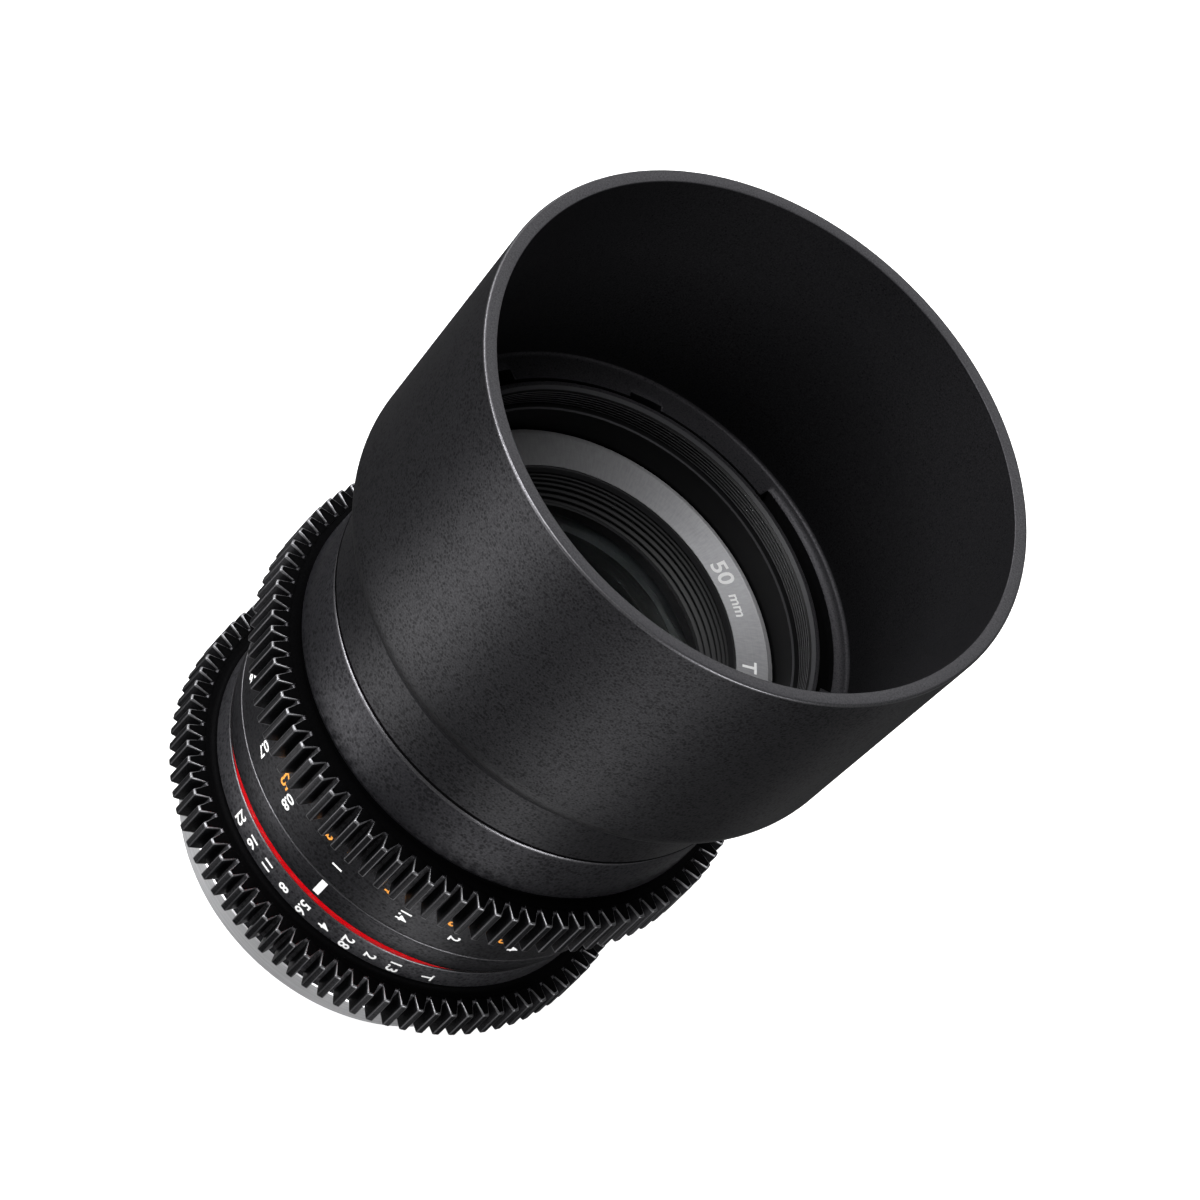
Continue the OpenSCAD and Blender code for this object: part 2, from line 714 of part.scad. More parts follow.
module focus_cam()
    color(brass)
        difference() {
            turned([
                [cam_bore_r, cam_z], [cam_r, cam_z], [cam_r, cam_flange_z], [cam_flange_r, cam_flange_z],
                [cam_flange_r, cam_flange_z + cam_flange_t], [cam_bore_r, cam_flange_z + cam_flange_t]
            ]);
            for (i = [0:follower_n - 1])
                cam_slot(follower_a + i * 360 / follower_n);
            for (i = [0:cam_screw_n - 1])
                axial_rod(
                    cam_screw_r + seat_gap, cam_flange_z - 1, cam_flange_z + cam_flange_t + 1,
                    cam_screw_pcr, i * 360 / cam_screw_n
                );
        }

module focus_cam_screws()
    color(steel)
        for (i = [0:cam_screw_n - 1]) {
            top = cam_flange_z + cam_flange_t;
            a = i * 360 / cam_screw_n;
            axial_rod(cam_screw_r, cam_flange_z - cam_screw_l + 0.2, top, cam_screw_pcr, a);
            axial_rod(cam_screw_head_r, top, top + 0.5, cam_screw_pcr, a);
        }

module iris_ring()
    color(black)
        difference() {
            union() {
                turned([
                    [iris_bore_r, iris_z], [iris_r + 0.6, iris_z], [iris_r + 0.6, iris_band_z],
                    [iris_r, iris_band_z + 0.6], [iris_r, iris_end_z - 0.35],
                    [iris_r - 0.35, iris_end_z], [iris_bore_r, iris_end_z]
                ]);
                difference() {
                    gear(iris_teeth, iris_z, iris_gear_w);
                    ring(0, iris_r, iris_z - 1, iris_band_z + 1);
                }
            }
            radial_rod(iris_pin_r + seat_gap, iris_bore_r - 1, iris_pin_end_r, iris_pin_z, lever_a);
        }

module iris_pin()
    color(steel)
        radial_rod(iris_pin_r, lever_r + 0.15, iris_pin_end_r - seat_gap, iris_pin_z, lever_a);

module focus_sleeve()
    color(black)
        difference() {
            ring(sleeve_bore_r, sleeve_r, sleeve_z, cell_end_z);
            for (i = [0:follower_n - 1])
                radial_rod(
                    follower_r + seat_gap, sleeve_bore_r - 1, sleeve_r + 1, follower_z,
                    follower_a + i * 360 / follower_n
                );
        }

module cam_followers()
    color(brass)
        for (i = [0:follower_n - 1])
            difference() {
                radial_rod(
                    follower_r, sleeve_bore_r + 0.1, follower_tip_r, follower_z,
                    follower_a + i * 360 / follower_n
                );
                rotate([0, 0, follower_a + i * 360 / follower_n])
                    translate([follower_tip_r, 0, follower_z])
                        cube([1.2, 0.4, 4], center = true);
            }

module name_ring()
    color("#6f7174")
        turned([
            [name_bore_r, name_z - name_t], [name_r, name_z - name_t], [name_r, name_z - 0.1],
            [name_r - 0.1, name_z], [name_r - 0.5, name_z], [name_bore_r, name_z - 0.55]
        ]);

// A cone of fine ridges that keeps stray light off the front lens
module front_baffle() {
    depth = name_z - 0.6 - baffle_z;
    step = depth / ridge_n;
    taper = (baffle_r - 0.35 - baffle_small_r) / ridge_n;
    color(dark)
        turned(concat(
            [[baffle_r, baffle_z], [baffle_r, baffle_z + depth]],
            [
                for (i = [ridge_n:-1:1])
                    each [
                        [baffle_small_r + taper * i, baffle_z + step * i],
                        [baffle_small_r + taper * i, baffle_z + step * (i - 1) + ridge_h]
                    ]
            ],
            [[baffle_small_r, baffle_z]]
        ));
}

// A threaded ring with two spanner slots
module slotted_ring(r0, r1, z0, z1)
    difference() {
        ring(r0, r1, z0, z1);
        translate([0, 0, z1])
            cube([2 * r1 + 2, 1, 1], center = true);
    }

module front_retainer()
    color(dark)
        slotted_ring(front_lip_r, edge_r(0), front_lip_z, front_lip_z + retainer_t);

module front_spacer()
    color(dark)
        ring(edge_r(1) - 1.4, edge_r(1), front_at(1, edge_r(1) - 1.4) + ease, lens_low(0) - ease);

module front_cell()
    color(dark)
        turned([
            [edge_r(3) + seat_gap, front_cell_z], [cell_r, front_cell_z], [cell_r, cell_end_z],
            [baffle_r + seat_gap, cell_end_z], [baffle_r + seat_gap, baffle_z - 0.05],
            [seat_r(0), baffle_z - 0.05], [seat_r(0), lens_low(0) - 0.01],
            [seat_r(1), lens_low(0) - 0.01], [seat_r(1), lens_low(1) - 0.01],
            [edge_r(2) - lip, lens_low(1) - 0.01], [edge_r(2) - lip, doublet_ledge_z],
            [seat_r(2), doublet_ledge_z]
        ]);

module front_doublet_retainer()
    color(dark)
        ring(clear_rear(3) + 0.4, edge_r(3), front_cell_z, lens_low(3) - 0.01);

module iris_case()
    color(dark)
        difference() {
            turned([
                [plate_bore_r, plate_z], [iris_case_r, plate_z], [iris_case_r, iris_retainer_z],
                [cell_r, iris_retainer_z], [cell_r, plate_z + plate_t], [plate_bore_r, plate_z + plate_t]
            ]);
            for (i = [0:blade_n - 1])
                axial_rod(
                    blade_pin_r + run_gap, plate_z - eps, plate_z + pivot_depth, pivot_r,
                    i * 360 / blade_n
                );
        }

module iris_retainer()
    color(dark)
        difference() {
            ring(plate_bore_r, iris_case_r - seat_gap, iris_retainer_z, iris_retainer_z + iris_retainer_t);
            arc_block(
                lever_foot_r - 0.4, iris_case_r + 1,
                iris_retainer_z - 1, iris_retainer_z + iris_retainer_t + 1,
                lever_window_a, lever_window
            );
        }

module rear_cell()
    color(dark)
        difference() {
            turned([
                [seat_r(6), rear_cell_z], [rear_cell_r, rear_cell_z],
                [rear_cell_r, rear_cell_end_z - rear_flange_t], [cell_r, rear_cell_end_z - rear_flange_t],
                [cell_r, rear_cell_end_z], [seat_r(4), rear_cell_end_z], [seat_r(4), rear_ledge_low],
                [rear_ledge_r, rear_ledge_low], [rear_ledge_r, rear_ledge_high],
                [seat_r(6), rear_ledge_high]
            ]);
            arc_block(
                lever_r - 0.5, cell_r + 1, rear_cell_end_z - rear_flange_t - 1, rear_cell_end_z + 1,
                lever_window_a, lever_window
            );
        }

module rear_doublet_retainer()
    color(dark)
        ring(clear_front(4) + 0.4, edge_r(4), lens_top(4) + 0.01, rear_cell_end_z);

module rear_spacer()
    color(dark)
        ring(
            edge_r(6) - lip, edge_r(6), front_at(7, edge_r(7) - lip) + ease,
            rear_at(6, edge_r(6) - lip) - ease
        );

module rear_shim()
    color(brass)
        ring(edge_r(7) - 1, edge_r(7), lens_top(8) + 0.02, rear_at(7, edge_r(7) - 1) - 0.02);

module rear_retainer()
    color(dark)
        slotted_ring(edge_r(8) - 1.8, edge_r(8), rear_cell_z + 0.3, rear_at(8, edge_r(8) - 1.8) - ease);

// The turning ring whose curved slots swing the blades
module iris_cam_ring()
    color(dark)
        difference() {
            ring(plate_bore_r, cam_ring_r, cam_ring_z, cam_ring_z + cam_ring_t);
            for (i = [0:blade_n - 1])
                rotate([0, 0, i * 360 / blade_n])
                    translate([0, 0, cam_ring_z - 1])
                        linear_extrude(cam_ring_t + 2)
                            polygon(cam_slot_outline());
            for (s = [-1, 1])
                lever_rivet(s, seat_gap, 1);
        }
// Path of a drive pin seen from the turning ring, widened to the slot
function cam_slot_path(u, side) =
    let (
        ring_turn = -iris_open_turn + u * (iris_open_turn + iris_close_turn),
        pin = drive_pin(blade_ratio * (ring_turn + iris_open_turn)),
        r = norm(pin) + side * (blade_pin_r + cam_pin_gap)
    )
    polar(r, atan2(pin[1], pin[0]) - ring_turn);
function cam_slot_outline() =
    let (n = 16, over = 0.04)
    concat(
        [for (i = [0:n]) cam_slot_path(-over + (1 + 2 * over) * i / n, 1)],
        [for (i = [n:-1:0]) cam_slot_path(-over + (1 + 2 * over) * i / n, -1)]
    );

module lever_rivet(s, gap, over)
    axial_rod(
        rivet_r + gap, cam_ring_z - lever_foot_t - over, cam_ring_z + rivet_depth + gap, rivet_pcr,
        lever_a + s * 4
    );

module iris_lever()
    color(steel)
        difference() {
            rotate([0, 0, lever_a - 90])
                difference() {
                    union() {
                        translate([-lever_w / 2, lever_r, lever_z])
                            cube([lever_w, lever_t, cam_ring_z - lever_z]);
                        translate([-lever_w / 2, lever_foot_r, cam_ring_z - lever_foot_t])
                            cube([lever_w, lever_r + lever_t - lever_foot_r, lever_foot_t]);
                    }
                    translate([-iris_pin_r - run_gap, lever_r - 1, lever_z - 1])
                        cube([2 * (iris_pin_r + run_gap), lever_t + 2, lever_slot_z - lever_z + 1]);
                }
            for (s = [-1, 1])
                lever_rivet(s, seat_gap, 1);
        }

module lever_rivets()
    color(brass)
        for (s = [-1, 1])
            lever_rivet(s, 0, 0.2);

// One blade with its pivot pin in the plate and its drive pin in the cam ring
module iris_blade(i) {
    z = blade_z + i * blade_step;
    drive_a = -blade_tail;
    color("#303034")
        rotate([0, 0, i * 360 / blade_n])
            translate([pivot_r, 0, 0])
                rotate([0, 0, blade_rest])
                    translate([-pivot_r, 0, 0]) {
                        arc_block(open_r, open_r + blade_w, z, z + blade_t, -3, blade_arc);
                        arc_block(
                            open_r + blade_w - 0.8, pivot_r + blade_ear, z, z + blade_t,
                            drive_a - 3, blade_tail + 6
                        );
                        axial_rod(blade_pin_r, z, plate_z + pivot_depth - 0.1, pivot_r, 0);
                        axial_rod(blade_pin_r, cam_ring_z + 0.2, z + blade_t, pivot_r, drive_a);
                    }
}

module lens_hood()
    color(black)
        difference() {
            union() {
                turned(hood_outline());
                for (a = tab_a)
                    arc_block(groove_r, hood_bore_r + 0.2, tab_z, tab_z + tab_t, a, tab_arc);
            }
            for (a = tab_a)
                arc_block(
                    hood_bore_r - 1, hood_bore_r + slot_h, slot_z, hood_z + hood_floor_z + 1,
                    a - slot_margin, tab_arc + 2 * slot_margin
                );
            arc_block(
                hood_bore_r - 1, hood_bore_r + slot_h / 2,
                hood_z + hood_floor_z - 1.5, hood_z + hood_floor_z + 1,
                notch_a, notch_arc
            );
        }
// Outline of the hood: bore, floor, mouth, rim, wall, rounded shoulder and rear band
function hood_outline() =
    let (
        shoulder = hood_z + shoulder_z,
        lean = atan((hood_rim_r - hood_wall_r) / (hood_end_z - shoulder)),
        turn = 60,
        centre = [hood_wall_r - shoulder_r * cos(lean), shoulder + shoulder_r * sin(lean)],
        low = centre + polar(shoulder_r, -turn),
        cove = (low[0] - band_top_r) / (1 - cos(turn)),
        cove_centre = low + polar(cove, -turn)
    )
    concat(
        [
            [hood_bore_r, hood_z], [hood_bore_r, hood_z + hood_floor_z],
            [hood_floor_r, hood_z + hood_floor_z], [hood_mouth_r, hood_end_z - 0.15],
            [hood_mouth_r + 0.15, hood_end_z]
        ],
        arc_points([hood_rim_r - 0.35, hood_end_z - 0.35], 0.35, 90, 0, 4),
        arc_points(centre, shoulder_r, -lean, -turn, 10),
        arc_points(cove_centre, cove, 180 - turn, 180, 6),
        [[band_end_r, hood_z + 0.15], [band_end_r - 0.15, hood_z]]
    );

mount_ring();
mount_screws();
mount_dot();
rear_baffle();
rear_barrel();
guide_tube();
accent_ring();
index_ring();
front_barrel();
barrel_screws();
focus_ring();
focus_cam();
focus_cam_screws();
iris_ring();
iris_pin();
focus_sleeve();
cam_followers();
name_ring();
front_baffle();
front_retainer();
front_spacer();
front_cell();
front_doublet_retainer();
iris_case();
iris_retainer();
rear_cell();
rear_doublet_retainer();
rear_spacer();
rear_shim();
rear_retainer();
lens(0);  // lens_1
lens(1);  // lens_2
lens(2);  // lens_3
lens(3);  // lens_4
lens(4);  // lens_5
lens(5);  // lens_6
lens(6);  // lens_7
lens(7);  // lens_8
lens(8);  // lens_9
iris_cam_ring();
iris_lever();
lever_rivets();
iris_blade(0);  // iris_blade_1
iris_blade(1);  // iris_blade_2
iris_blade(2);  // iris_blade_3
iris_blade(3);  // iris_blade_4
iris_blade(4);  // iris_blade_5
iris_blade(5);  // iris_blade_6
iris_blade(6);  // iris_blade_7
iris_blade(7);  // iris_blade_8
iris_blade(8);  // iris_blade_9
lens_hood();
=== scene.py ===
import json
import math

import bmesh
import bpy
from mathutils import Matrix, Vector

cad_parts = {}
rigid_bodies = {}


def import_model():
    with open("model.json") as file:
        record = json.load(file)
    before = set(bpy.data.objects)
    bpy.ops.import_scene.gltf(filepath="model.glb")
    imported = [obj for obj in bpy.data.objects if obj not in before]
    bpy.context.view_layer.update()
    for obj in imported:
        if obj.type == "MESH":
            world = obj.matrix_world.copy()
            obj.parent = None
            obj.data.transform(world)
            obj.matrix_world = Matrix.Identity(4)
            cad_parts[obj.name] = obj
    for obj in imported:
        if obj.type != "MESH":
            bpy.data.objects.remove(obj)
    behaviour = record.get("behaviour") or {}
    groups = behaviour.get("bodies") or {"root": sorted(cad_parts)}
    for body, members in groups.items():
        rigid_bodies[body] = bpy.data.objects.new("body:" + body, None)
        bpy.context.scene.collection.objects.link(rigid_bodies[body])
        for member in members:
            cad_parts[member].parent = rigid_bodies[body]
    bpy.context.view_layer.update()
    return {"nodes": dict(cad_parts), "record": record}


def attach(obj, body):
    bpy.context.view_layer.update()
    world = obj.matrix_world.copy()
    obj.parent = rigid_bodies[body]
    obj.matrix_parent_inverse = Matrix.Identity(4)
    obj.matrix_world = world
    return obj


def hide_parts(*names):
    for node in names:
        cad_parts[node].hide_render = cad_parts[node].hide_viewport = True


for thing in list(bpy.data.objects):
    bpy.data.objects.remove(thing)
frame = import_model()
print("stage: frame loaded")

scene = bpy.context.scene
mm = 0.001
segments = 288
near = 0.02  # mm within which a point counts as on a surface
hair = 0.02  # mm, the least step in an outline


def addNode(tree, kind, inputs=None, **props):
    node = tree.nodes.new(kind)
    for key, value in props.items():
        setattr(node, key, value)
    for key, value in (inputs or {}).items():
        if isinstance(value, bpy.types.NodeSocket):
            tree.links.new(value, node.inputs[key])
        else:
            node.inputs[key].default_value = value
    return node


def calc(tree, operation, a, b=0.0):
    return addNode(tree, "ShaderNodeMath", {0: a, 1: b}, operation=operation).outputs[0]


def scaledSum(tree, a, aShare, b, bShare):
    return calc(tree, "ADD", calc(tree, "MULTIPLY", a, aShare), calc(tree, "MULTIPLY", b, bShare))


def newGroup(name, kind, inputs, outputs):
    tree = bpy.data.node_groups.new(name, kind)
    for label, socket in inputs.items():
        tree.interface.new_socket(label, in_out="INPUT", socket_type=socket)
    for label, socket in outputs.items():
        tree.interface.new_socket(label, in_out="OUTPUT", socket_type=socket)
    return tree, tree.nodes.new("NodeGroupInput"), tree.nodes.new("NodeGroupOutput")


def smoothBelow(tree, geometry, limit):
    angle = addNode(tree, "GeometryNodeInputMeshEdgeAngle").outputs["Unsigned Angle"]
    sharp = addNode(
        tree, "FunctionNodeCompare", {0: angle, 1: limit}, data_type="FLOAT", operation="GREATER_THAN",
    )
    faces = addNode(
        tree, "GeometryNodeSetShadeSmooth", {"Geometry": geometry, "Shade Smooth": True}, domain="FACE",
    )
    edges = addNode(
        tree, "GeometryNodeSetShadeSmooth",
        {"Geometry": faces.outputs[0], "Selection": sharp.outputs[0], "Shade Smooth": False}, domain="EDGE",
    )
    return edges.outputs[0]


def endGroup(tree, geometry, material, out):
    real = addNode(tree, "GeometryNodeRealizeInstances", {"Geometry": geometry})
    done = addNode(tree, "GeometryNodeSetMaterial", {"Geometry": real.outputs[0], "Material": material})
    tree.links.new(done.outputs[0], out.inputs[0])


# Turns an outline round the axis
latheTree, latheIn, latheOut = newGroup(
    "lathe", "GeometryNodeTree",
    {"Geometry": "NodeSocketGeometry", "Segments": "NodeSocketInt", "Path Radius": "NodeSocketFloat",
     "Sharp Angle": "NodeSocketFloat", "Material": "NodeSocketMaterial"},
    {"Geometry": "NodeSocketGeometry"},
)
outlineCurve = addNode(latheTree, "GeometryNodeMeshToCurve", {"Mesh": latheIn.outputs["Geometry"]})
path = addNode(
    latheTree, "GeometryNodeCurvePrimitiveCircle",
    {"Resolution": latheIn.outputs["Segments"], "Radius": latheIn.outputs["Path Radius"]}, mode="RADIUS",
)
swept = addNode(
    latheTree, "GeometryNodeCurveToMesh",
    {"Curve": path.outputs["Curve"], "Profile Curve": outlineCurve.outputs["Curve"]},
)
latheSmooth = smoothBelow(latheTree, swept.outputs["Mesh"], latheIn.outputs["Sharp Angle"])
endGroup(latheTree, latheSmooth, latheIn.outputs["Material"], latheOut)

# Repeats one tooth round the axis
gearTree, gearIn, gearOut = newGroup(
    "gearTeeth", "GeometryNodeTree",
    {"Geometry": "NodeSocketGeometry", "Teeth": "NodeSocketInt", "Sharp Angle": "NodeSocketFloat",
     "Material": "NodeSocketMaterial"},
    {"Geometry": "NodeSocketGeometry"},
)
toothPoints = addNode(gearTree, "GeometryNodePoints", {"Count": gearIn.outputs["Teeth"]})
pitch = calc(gearTree, "DIVIDE", math.tau, gearIn.outputs["Teeth"])
turnBy = calc(gearTree, "MULTIPLY", addNode(gearTree, "GeometryNodeInputIndex").outputs[0], pitch)
turnAngles = addNode(gearTree, "ShaderNodeCombineXYZ", {"Z": turnBy})
turnRotation = addNode(gearTree, "FunctionNodeEulerToRotation", {0: turnAngles.outputs[0]})
toothSmooth = smoothBelow(gearTree, gearIn.outputs["Geometry"], gearIn.outputs["Sharp Angle"])
copies = addNode(
    gearTree, "GeometryNodeInstanceOnPoints",
    {"Points": toothPoints.outputs[0], "Instance": toothSmooth, "Rotation": turnRotation.outputs[0]},
)
endGroup(gearTree, copies.outputs[0], gearIn.outputs["Material"], gearOut)


def plainObject(name, verts, edges, faces):
    mesh = bpy.data.meshes.new(name)
    mesh.from_pydata(verts, edges, faces)
    mesh.update()
    made = bpy.data.objects.new(name, mesh)
    scene.collection.objects.link(made)
    return made


# Runs a tree on an object and keeps the result as its plain mesh, faces outwards
def runNodes(made, tree, values):
    modifier = made.modifiers.new(tree.name, "NODES")
    modifier.node_group = tree
    ids = {item.name: item.identifier for item in tree.interface.items_tree if item.in_out == "INPUT"}
    for label, value in values.items():
        modifier[ids[label]] = value
    graph = bpy.context.evaluated_depsgraph_get()
    mesh = bpy.data.meshes.new_from_object(made.evaluated_get(graph))
    made.modifiers.clear()
    made.data = mesh
    bm = bmesh.new()
    bm.from_mesh(mesh)
    if bm.calc_volume(signed=True) < 0:
        bmesh.ops.reverse_faces(bm, faces=bm.faces)
        bm.to_mesh(mesh)
    bm.free()
    return made


def arc(cx, cy, r, a0, a1, n):
    steps = [math.radians(a0 + (a1 - a0) * i / n) for i in range(n + 1)]
    return [(cx + r * math.cos(a), cy + r * math.sin(a)) for a in steps]


def turned(name, outline, material, sharp, count=segments):
    pathRadius = 10.0  # any radius does, the outline is set back by it
    verts = [((r - pathRadius) * mm, -z * mm, 0) for r, z in outline]
    edges = [(i, (i + 1) % len(verts)) for i in range(len(verts))]
    return runNodes(plainObject(name, verts, edges, []), latheTree, {
        "Segments": count, "Path Radius": pathRadius * mm, "Sharp Angle": math.radians(sharp),
        "Material": material,
    })


def faceSpot(face):
    return face.center.z / mm, math.hypot(face.center.x, face.center.y) / mm


def paintFaces(made, extras, finishOf):
    for material in extras:
        made.data.materials.append(material)
    names = [material.name for material in made.data.materials]
    for face in made.data.polygons:
        face.material_index = names.index(finishOf(face).name)


# Painted highlight on a ring's front lip, and painted shade on the groove behind it where it has one
def paintRing(made, base, lip, groove=None):
    def ringFinishAndShade(face):
        z, reach = faceSpot(face)
        if z > lip["low"] and lip["rise"][0] < face.normal.z < lip["rise"][1]:
            return edgePaintedHighlight
        if groove and groove["low"] < z < groove["high"] and reach < groove["reach"]:
            return groovePaintedShade
        return base

    paintFaces(made, (groovePaintedShade, edgePaintedHighlight) if groove else (edgePaintedHighlight,), ringFinishAndShade)


def layered(rings):
    n = len(rings[0])
    verts = [p for ring in rings for p in ring]
    faces = [tuple(range(n))[::-1], tuple(range(len(verts) - n, len(verts)))]
    for k in range(len(rings) - 1):
        for i in range(n):
            j = (i + 1) % n
            faces.append((k * n + i, k * n + j, (k + 1) * n + j, (k + 1) * n + i))
    return verts, faces


# Tooth's section, in shares of its soft edge, and how far its ends draw in
toothForm = {
    "flankOut": 0.25, "cornerIn": 0.2, "cornerDrop": 0.25, "endPinch": 0.5, "rootPinch": 0.4, "endSteps": 4,
    "sharp": 50, "caps": 2, "flanks": range(1, 8), "corners": (2, 3, 5, 6),
}


def gearTeeth(name, spec, material, edgeMaterial):
    tip, root = spec["tip"], spec["tip"] - spec["depth"]
    halfTip, halfRoot, soft, end = spec["tipWidth"] / 2, spec["rootWidth"] / 2, spec["edge"], spec["end"]

    def section(z, drop):
        top = tip - drop
        pinch = drop * toothForm["endPinch"]
        foot = halfRoot - pinch * toothForm["rootPinch"]
        side = [
            (foot, spec["base"]), (foot, root),
            (halfTip + soft * toothForm["flankOut"] - pinch, top - soft),
            (halfTip - soft * toothForm["cornerIn"] - pinch, top - soft * toothForm["cornerDrop"]),
            (halfTip - soft - pinch, top),
        ]
        ring = side + [(-x, y) for x, y in reversed(side)]
        return [(y * mm, x * mm, z * mm) for x, y in ring]

    turns = [math.radians(90 * k / toothForm["endSteps"]) for k in range(toothForm["endSteps"] + 1)]
    ends = [(end * (1 - math.cos(a)), end * (1 - math.sin(a))) for a in turns]
    rear = [section(spec["low"] + along, drop) for along, drop in ends]
    front = [section(spec["high"] - along, drop) for along, drop in reversed(ends)]
    rings = rear + front
    verts, faces = layered(rings)
    tooth = plainObject(name, verts, [], faces)
    tooth.data.materials.append(material)  # its own faces need a slot before they are copied
    made = runNodes(tooth, gearTree, {
        "Teeth": spec["teeth"], "Sharp Angle": math.radians(toothForm["sharp"]), "Material": material,
    })

    def toothFinishAndShade(face):
        row, side = divmod(face.index % len(faces) - toothForm["caps"], len(rings[0]))
        # The tooth's end caps get painted shade
        if row < 0:
            return groovePaintedShade
        # Flanks and end rounds get painted highlight lines
        if row != len(rear) - 1 and side in toothForm["flanks"]:
            return edgeMaterial
        return edgePaintedHighlight if side in toothForm["corners"] else material

    paintFaces(made, (edgeMaterial, groovePaintedShade, edgePaintedHighlight), toothFinishAndShade)
    return made


def place(made, body, slot, *nodes):
    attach(made, body)
    if nodes:
        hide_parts(*nodes)
    return made


def objectSpot(tree):
    return addNode(tree, "ShaderNodeTexCoord").outputs["Object"]


def objectParts(tree):
    return addNode(tree, "ShaderNodeSeparateXYZ", {0: objectSpot(tree)}).outputs


def axisReach(tree, parts):
    squares = [calc(tree, "POWER", parts[k], 2.0) for k in (0, 1)]
    return calc(tree, "SQRT", calc(tree, "ADD", *squares))


def noise(tree, spot, scale, detail):
    inputs = {"Vector": spot, "Scale": scale, "Detail": detail}
    return addNode(tree, "ShaderNodeTexNoise", inputs).outputs["Fac"]


def mapRange(tree, value, fromMin, fromMax, toMin=0.0, toMax=1.0, curve="SMOOTHSTEP"):
    inputs = {"Value": value, "From Min": fromMin, "From Max": fromMax, "To Min": toMin, "To Max": toMax}
    return addNode(tree, "ShaderNodeMapRange", inputs, interpolation_type=curve).outputs["Result"]


def mixColor(tree, factor, a, b):
    return addNode(tree, "ShaderNodeMix", {0: factor, 6: a, 7: b}, data_type="RGBA").outputs[2]


# Dark specks and fine grain of a sprayed or blasted black finish
speck = {
    "grainScale": 1.7, "grainDetail": 1.0, "cloudScale": 160.0, "cloudDetail": 3.0, "spread": 0.5,
    "soft": 0.28, "grainGloss": 1.7, "leastGloss": 0.15, "pitGloss": 0.45, "depth": 0.06,
    "tint": (0.95, 0.93, 1.0, 1),
}


def speckNodes(tree, scale, level):
    spot = objectSpot(tree)
    cells = addNode(tree, "ShaderNodeTexVoronoi", {"Vector": spot, "Scale": scale}, feature="F1")
    cell = addNode(tree, "ShaderNodeSeparateColor", {0: cells.outputs["Color"]}).outputs[0]
    grain = noise(tree, spot, calc(tree, "MULTIPLY", scale, speck["grainScale"]), speck["grainDetail"])
    cloud = noise(tree, spot, speck["cloudScale"], speck["cloudDetail"])
    spread = calc(tree, "SUBTRACT", calc(tree, "ADD", cell, cloud), 1.0)
    size = calc(tree, "ADD", level, calc(tree, "MULTIPLY", spread, speck["spread"]))
    pit = mapRange(tree, calc(tree, "SUBTRACT", size, cells.outputs["Distance"]), 0.0, speck["soft"])
    return pit, grain


pitTree, pitIn, pitOut = newGroup(
    "pits", "ShaderNodeTree", {"Scale": "NodeSocketFloat", "Level": "NodeSocketFloat"},
    {"Pit": "NodeSocketFloat", "Height": "NodeSocketFloat"},
)
pitMask, pitGrain = speckNodes(pitTree, pitIn.outputs["Scale"], pitIn.outputs["Level"])
pitTree.links.new(pitMask, pitOut.inputs["Pit"])
pitTree.links.new(calc(pitTree, "SUBTRACT", pitGrain, pitMask), pitOut.inputs["Height"])

# Fine lines left by turning, along a circle or across a face
turning = {
    "along": 0.0004, "across": 8.0, "rayScale": 90.0, "detail": 3.0, "tone": 0.3, "rough": 0.12,
    "depth": 0.03,
}
lineTree, lineIn, lineOut = newGroup(
    "turnedLines", "ShaderNodeTree", {"Fineness": "NodeSocketFloat"},
    {"Lines": "NodeSocketFloat", "Rays": "NodeSocketFloat"},
)
lineParts = objectParts(lineTree)
lineReach = axisReach(lineTree, lineParts)
lineAngle = calc(lineTree, "ARCTAN2", lineParts[1], lineParts[0])
lineAlong = calc(lineTree, "MULTIPLY", lineAngle, turning["along"])
lineSpot = addNode(lineTree, "ShaderNodeCombineXYZ", {"X": lineReach, "Y": lineAlong, "Z": lineParts[2]})
lineNoise = noise(lineTree, lineSpot.outputs[0], lineIn.outputs["Fineness"], turning["detail"])
rayAcross = calc(lineTree, "MULTIPLY", lineReach, turning["across"])
raySpot = addNode(lineTree, "ShaderNodeCombineXYZ", {"X": lineAngle, "Y": rayAcross})
rayNoise = noise(lineTree, raySpot.outputs[0], turning["rayScale"], turning["detail"])
lineTree.links.new(lineNoise, lineOut.inputs["Lines"])
lineTree.links.new(rayNoise, lineOut.inputs["Rays"])


def newMaterial(name):
    material = bpy.data.materials.new(name)
    material.use_nodes = True
    tree = material.node_tree
    tree.nodes.clear()
    shader = addNode(tree, "ShaderNodeBsdfPrincipled")
    addNode(tree, "ShaderNodeOutputMaterial", {"Surface": shader.outputs[0]})
    return material, tree, shader


def bump(tree, shader, height, strength, depth):
    inputs = {"Height": height, "Strength": strength, "Distance": depth * mm}
    tree.links.new(addNode(tree, "ShaderNodeBump", inputs).outputs[0], shader.inputs["Normal"])


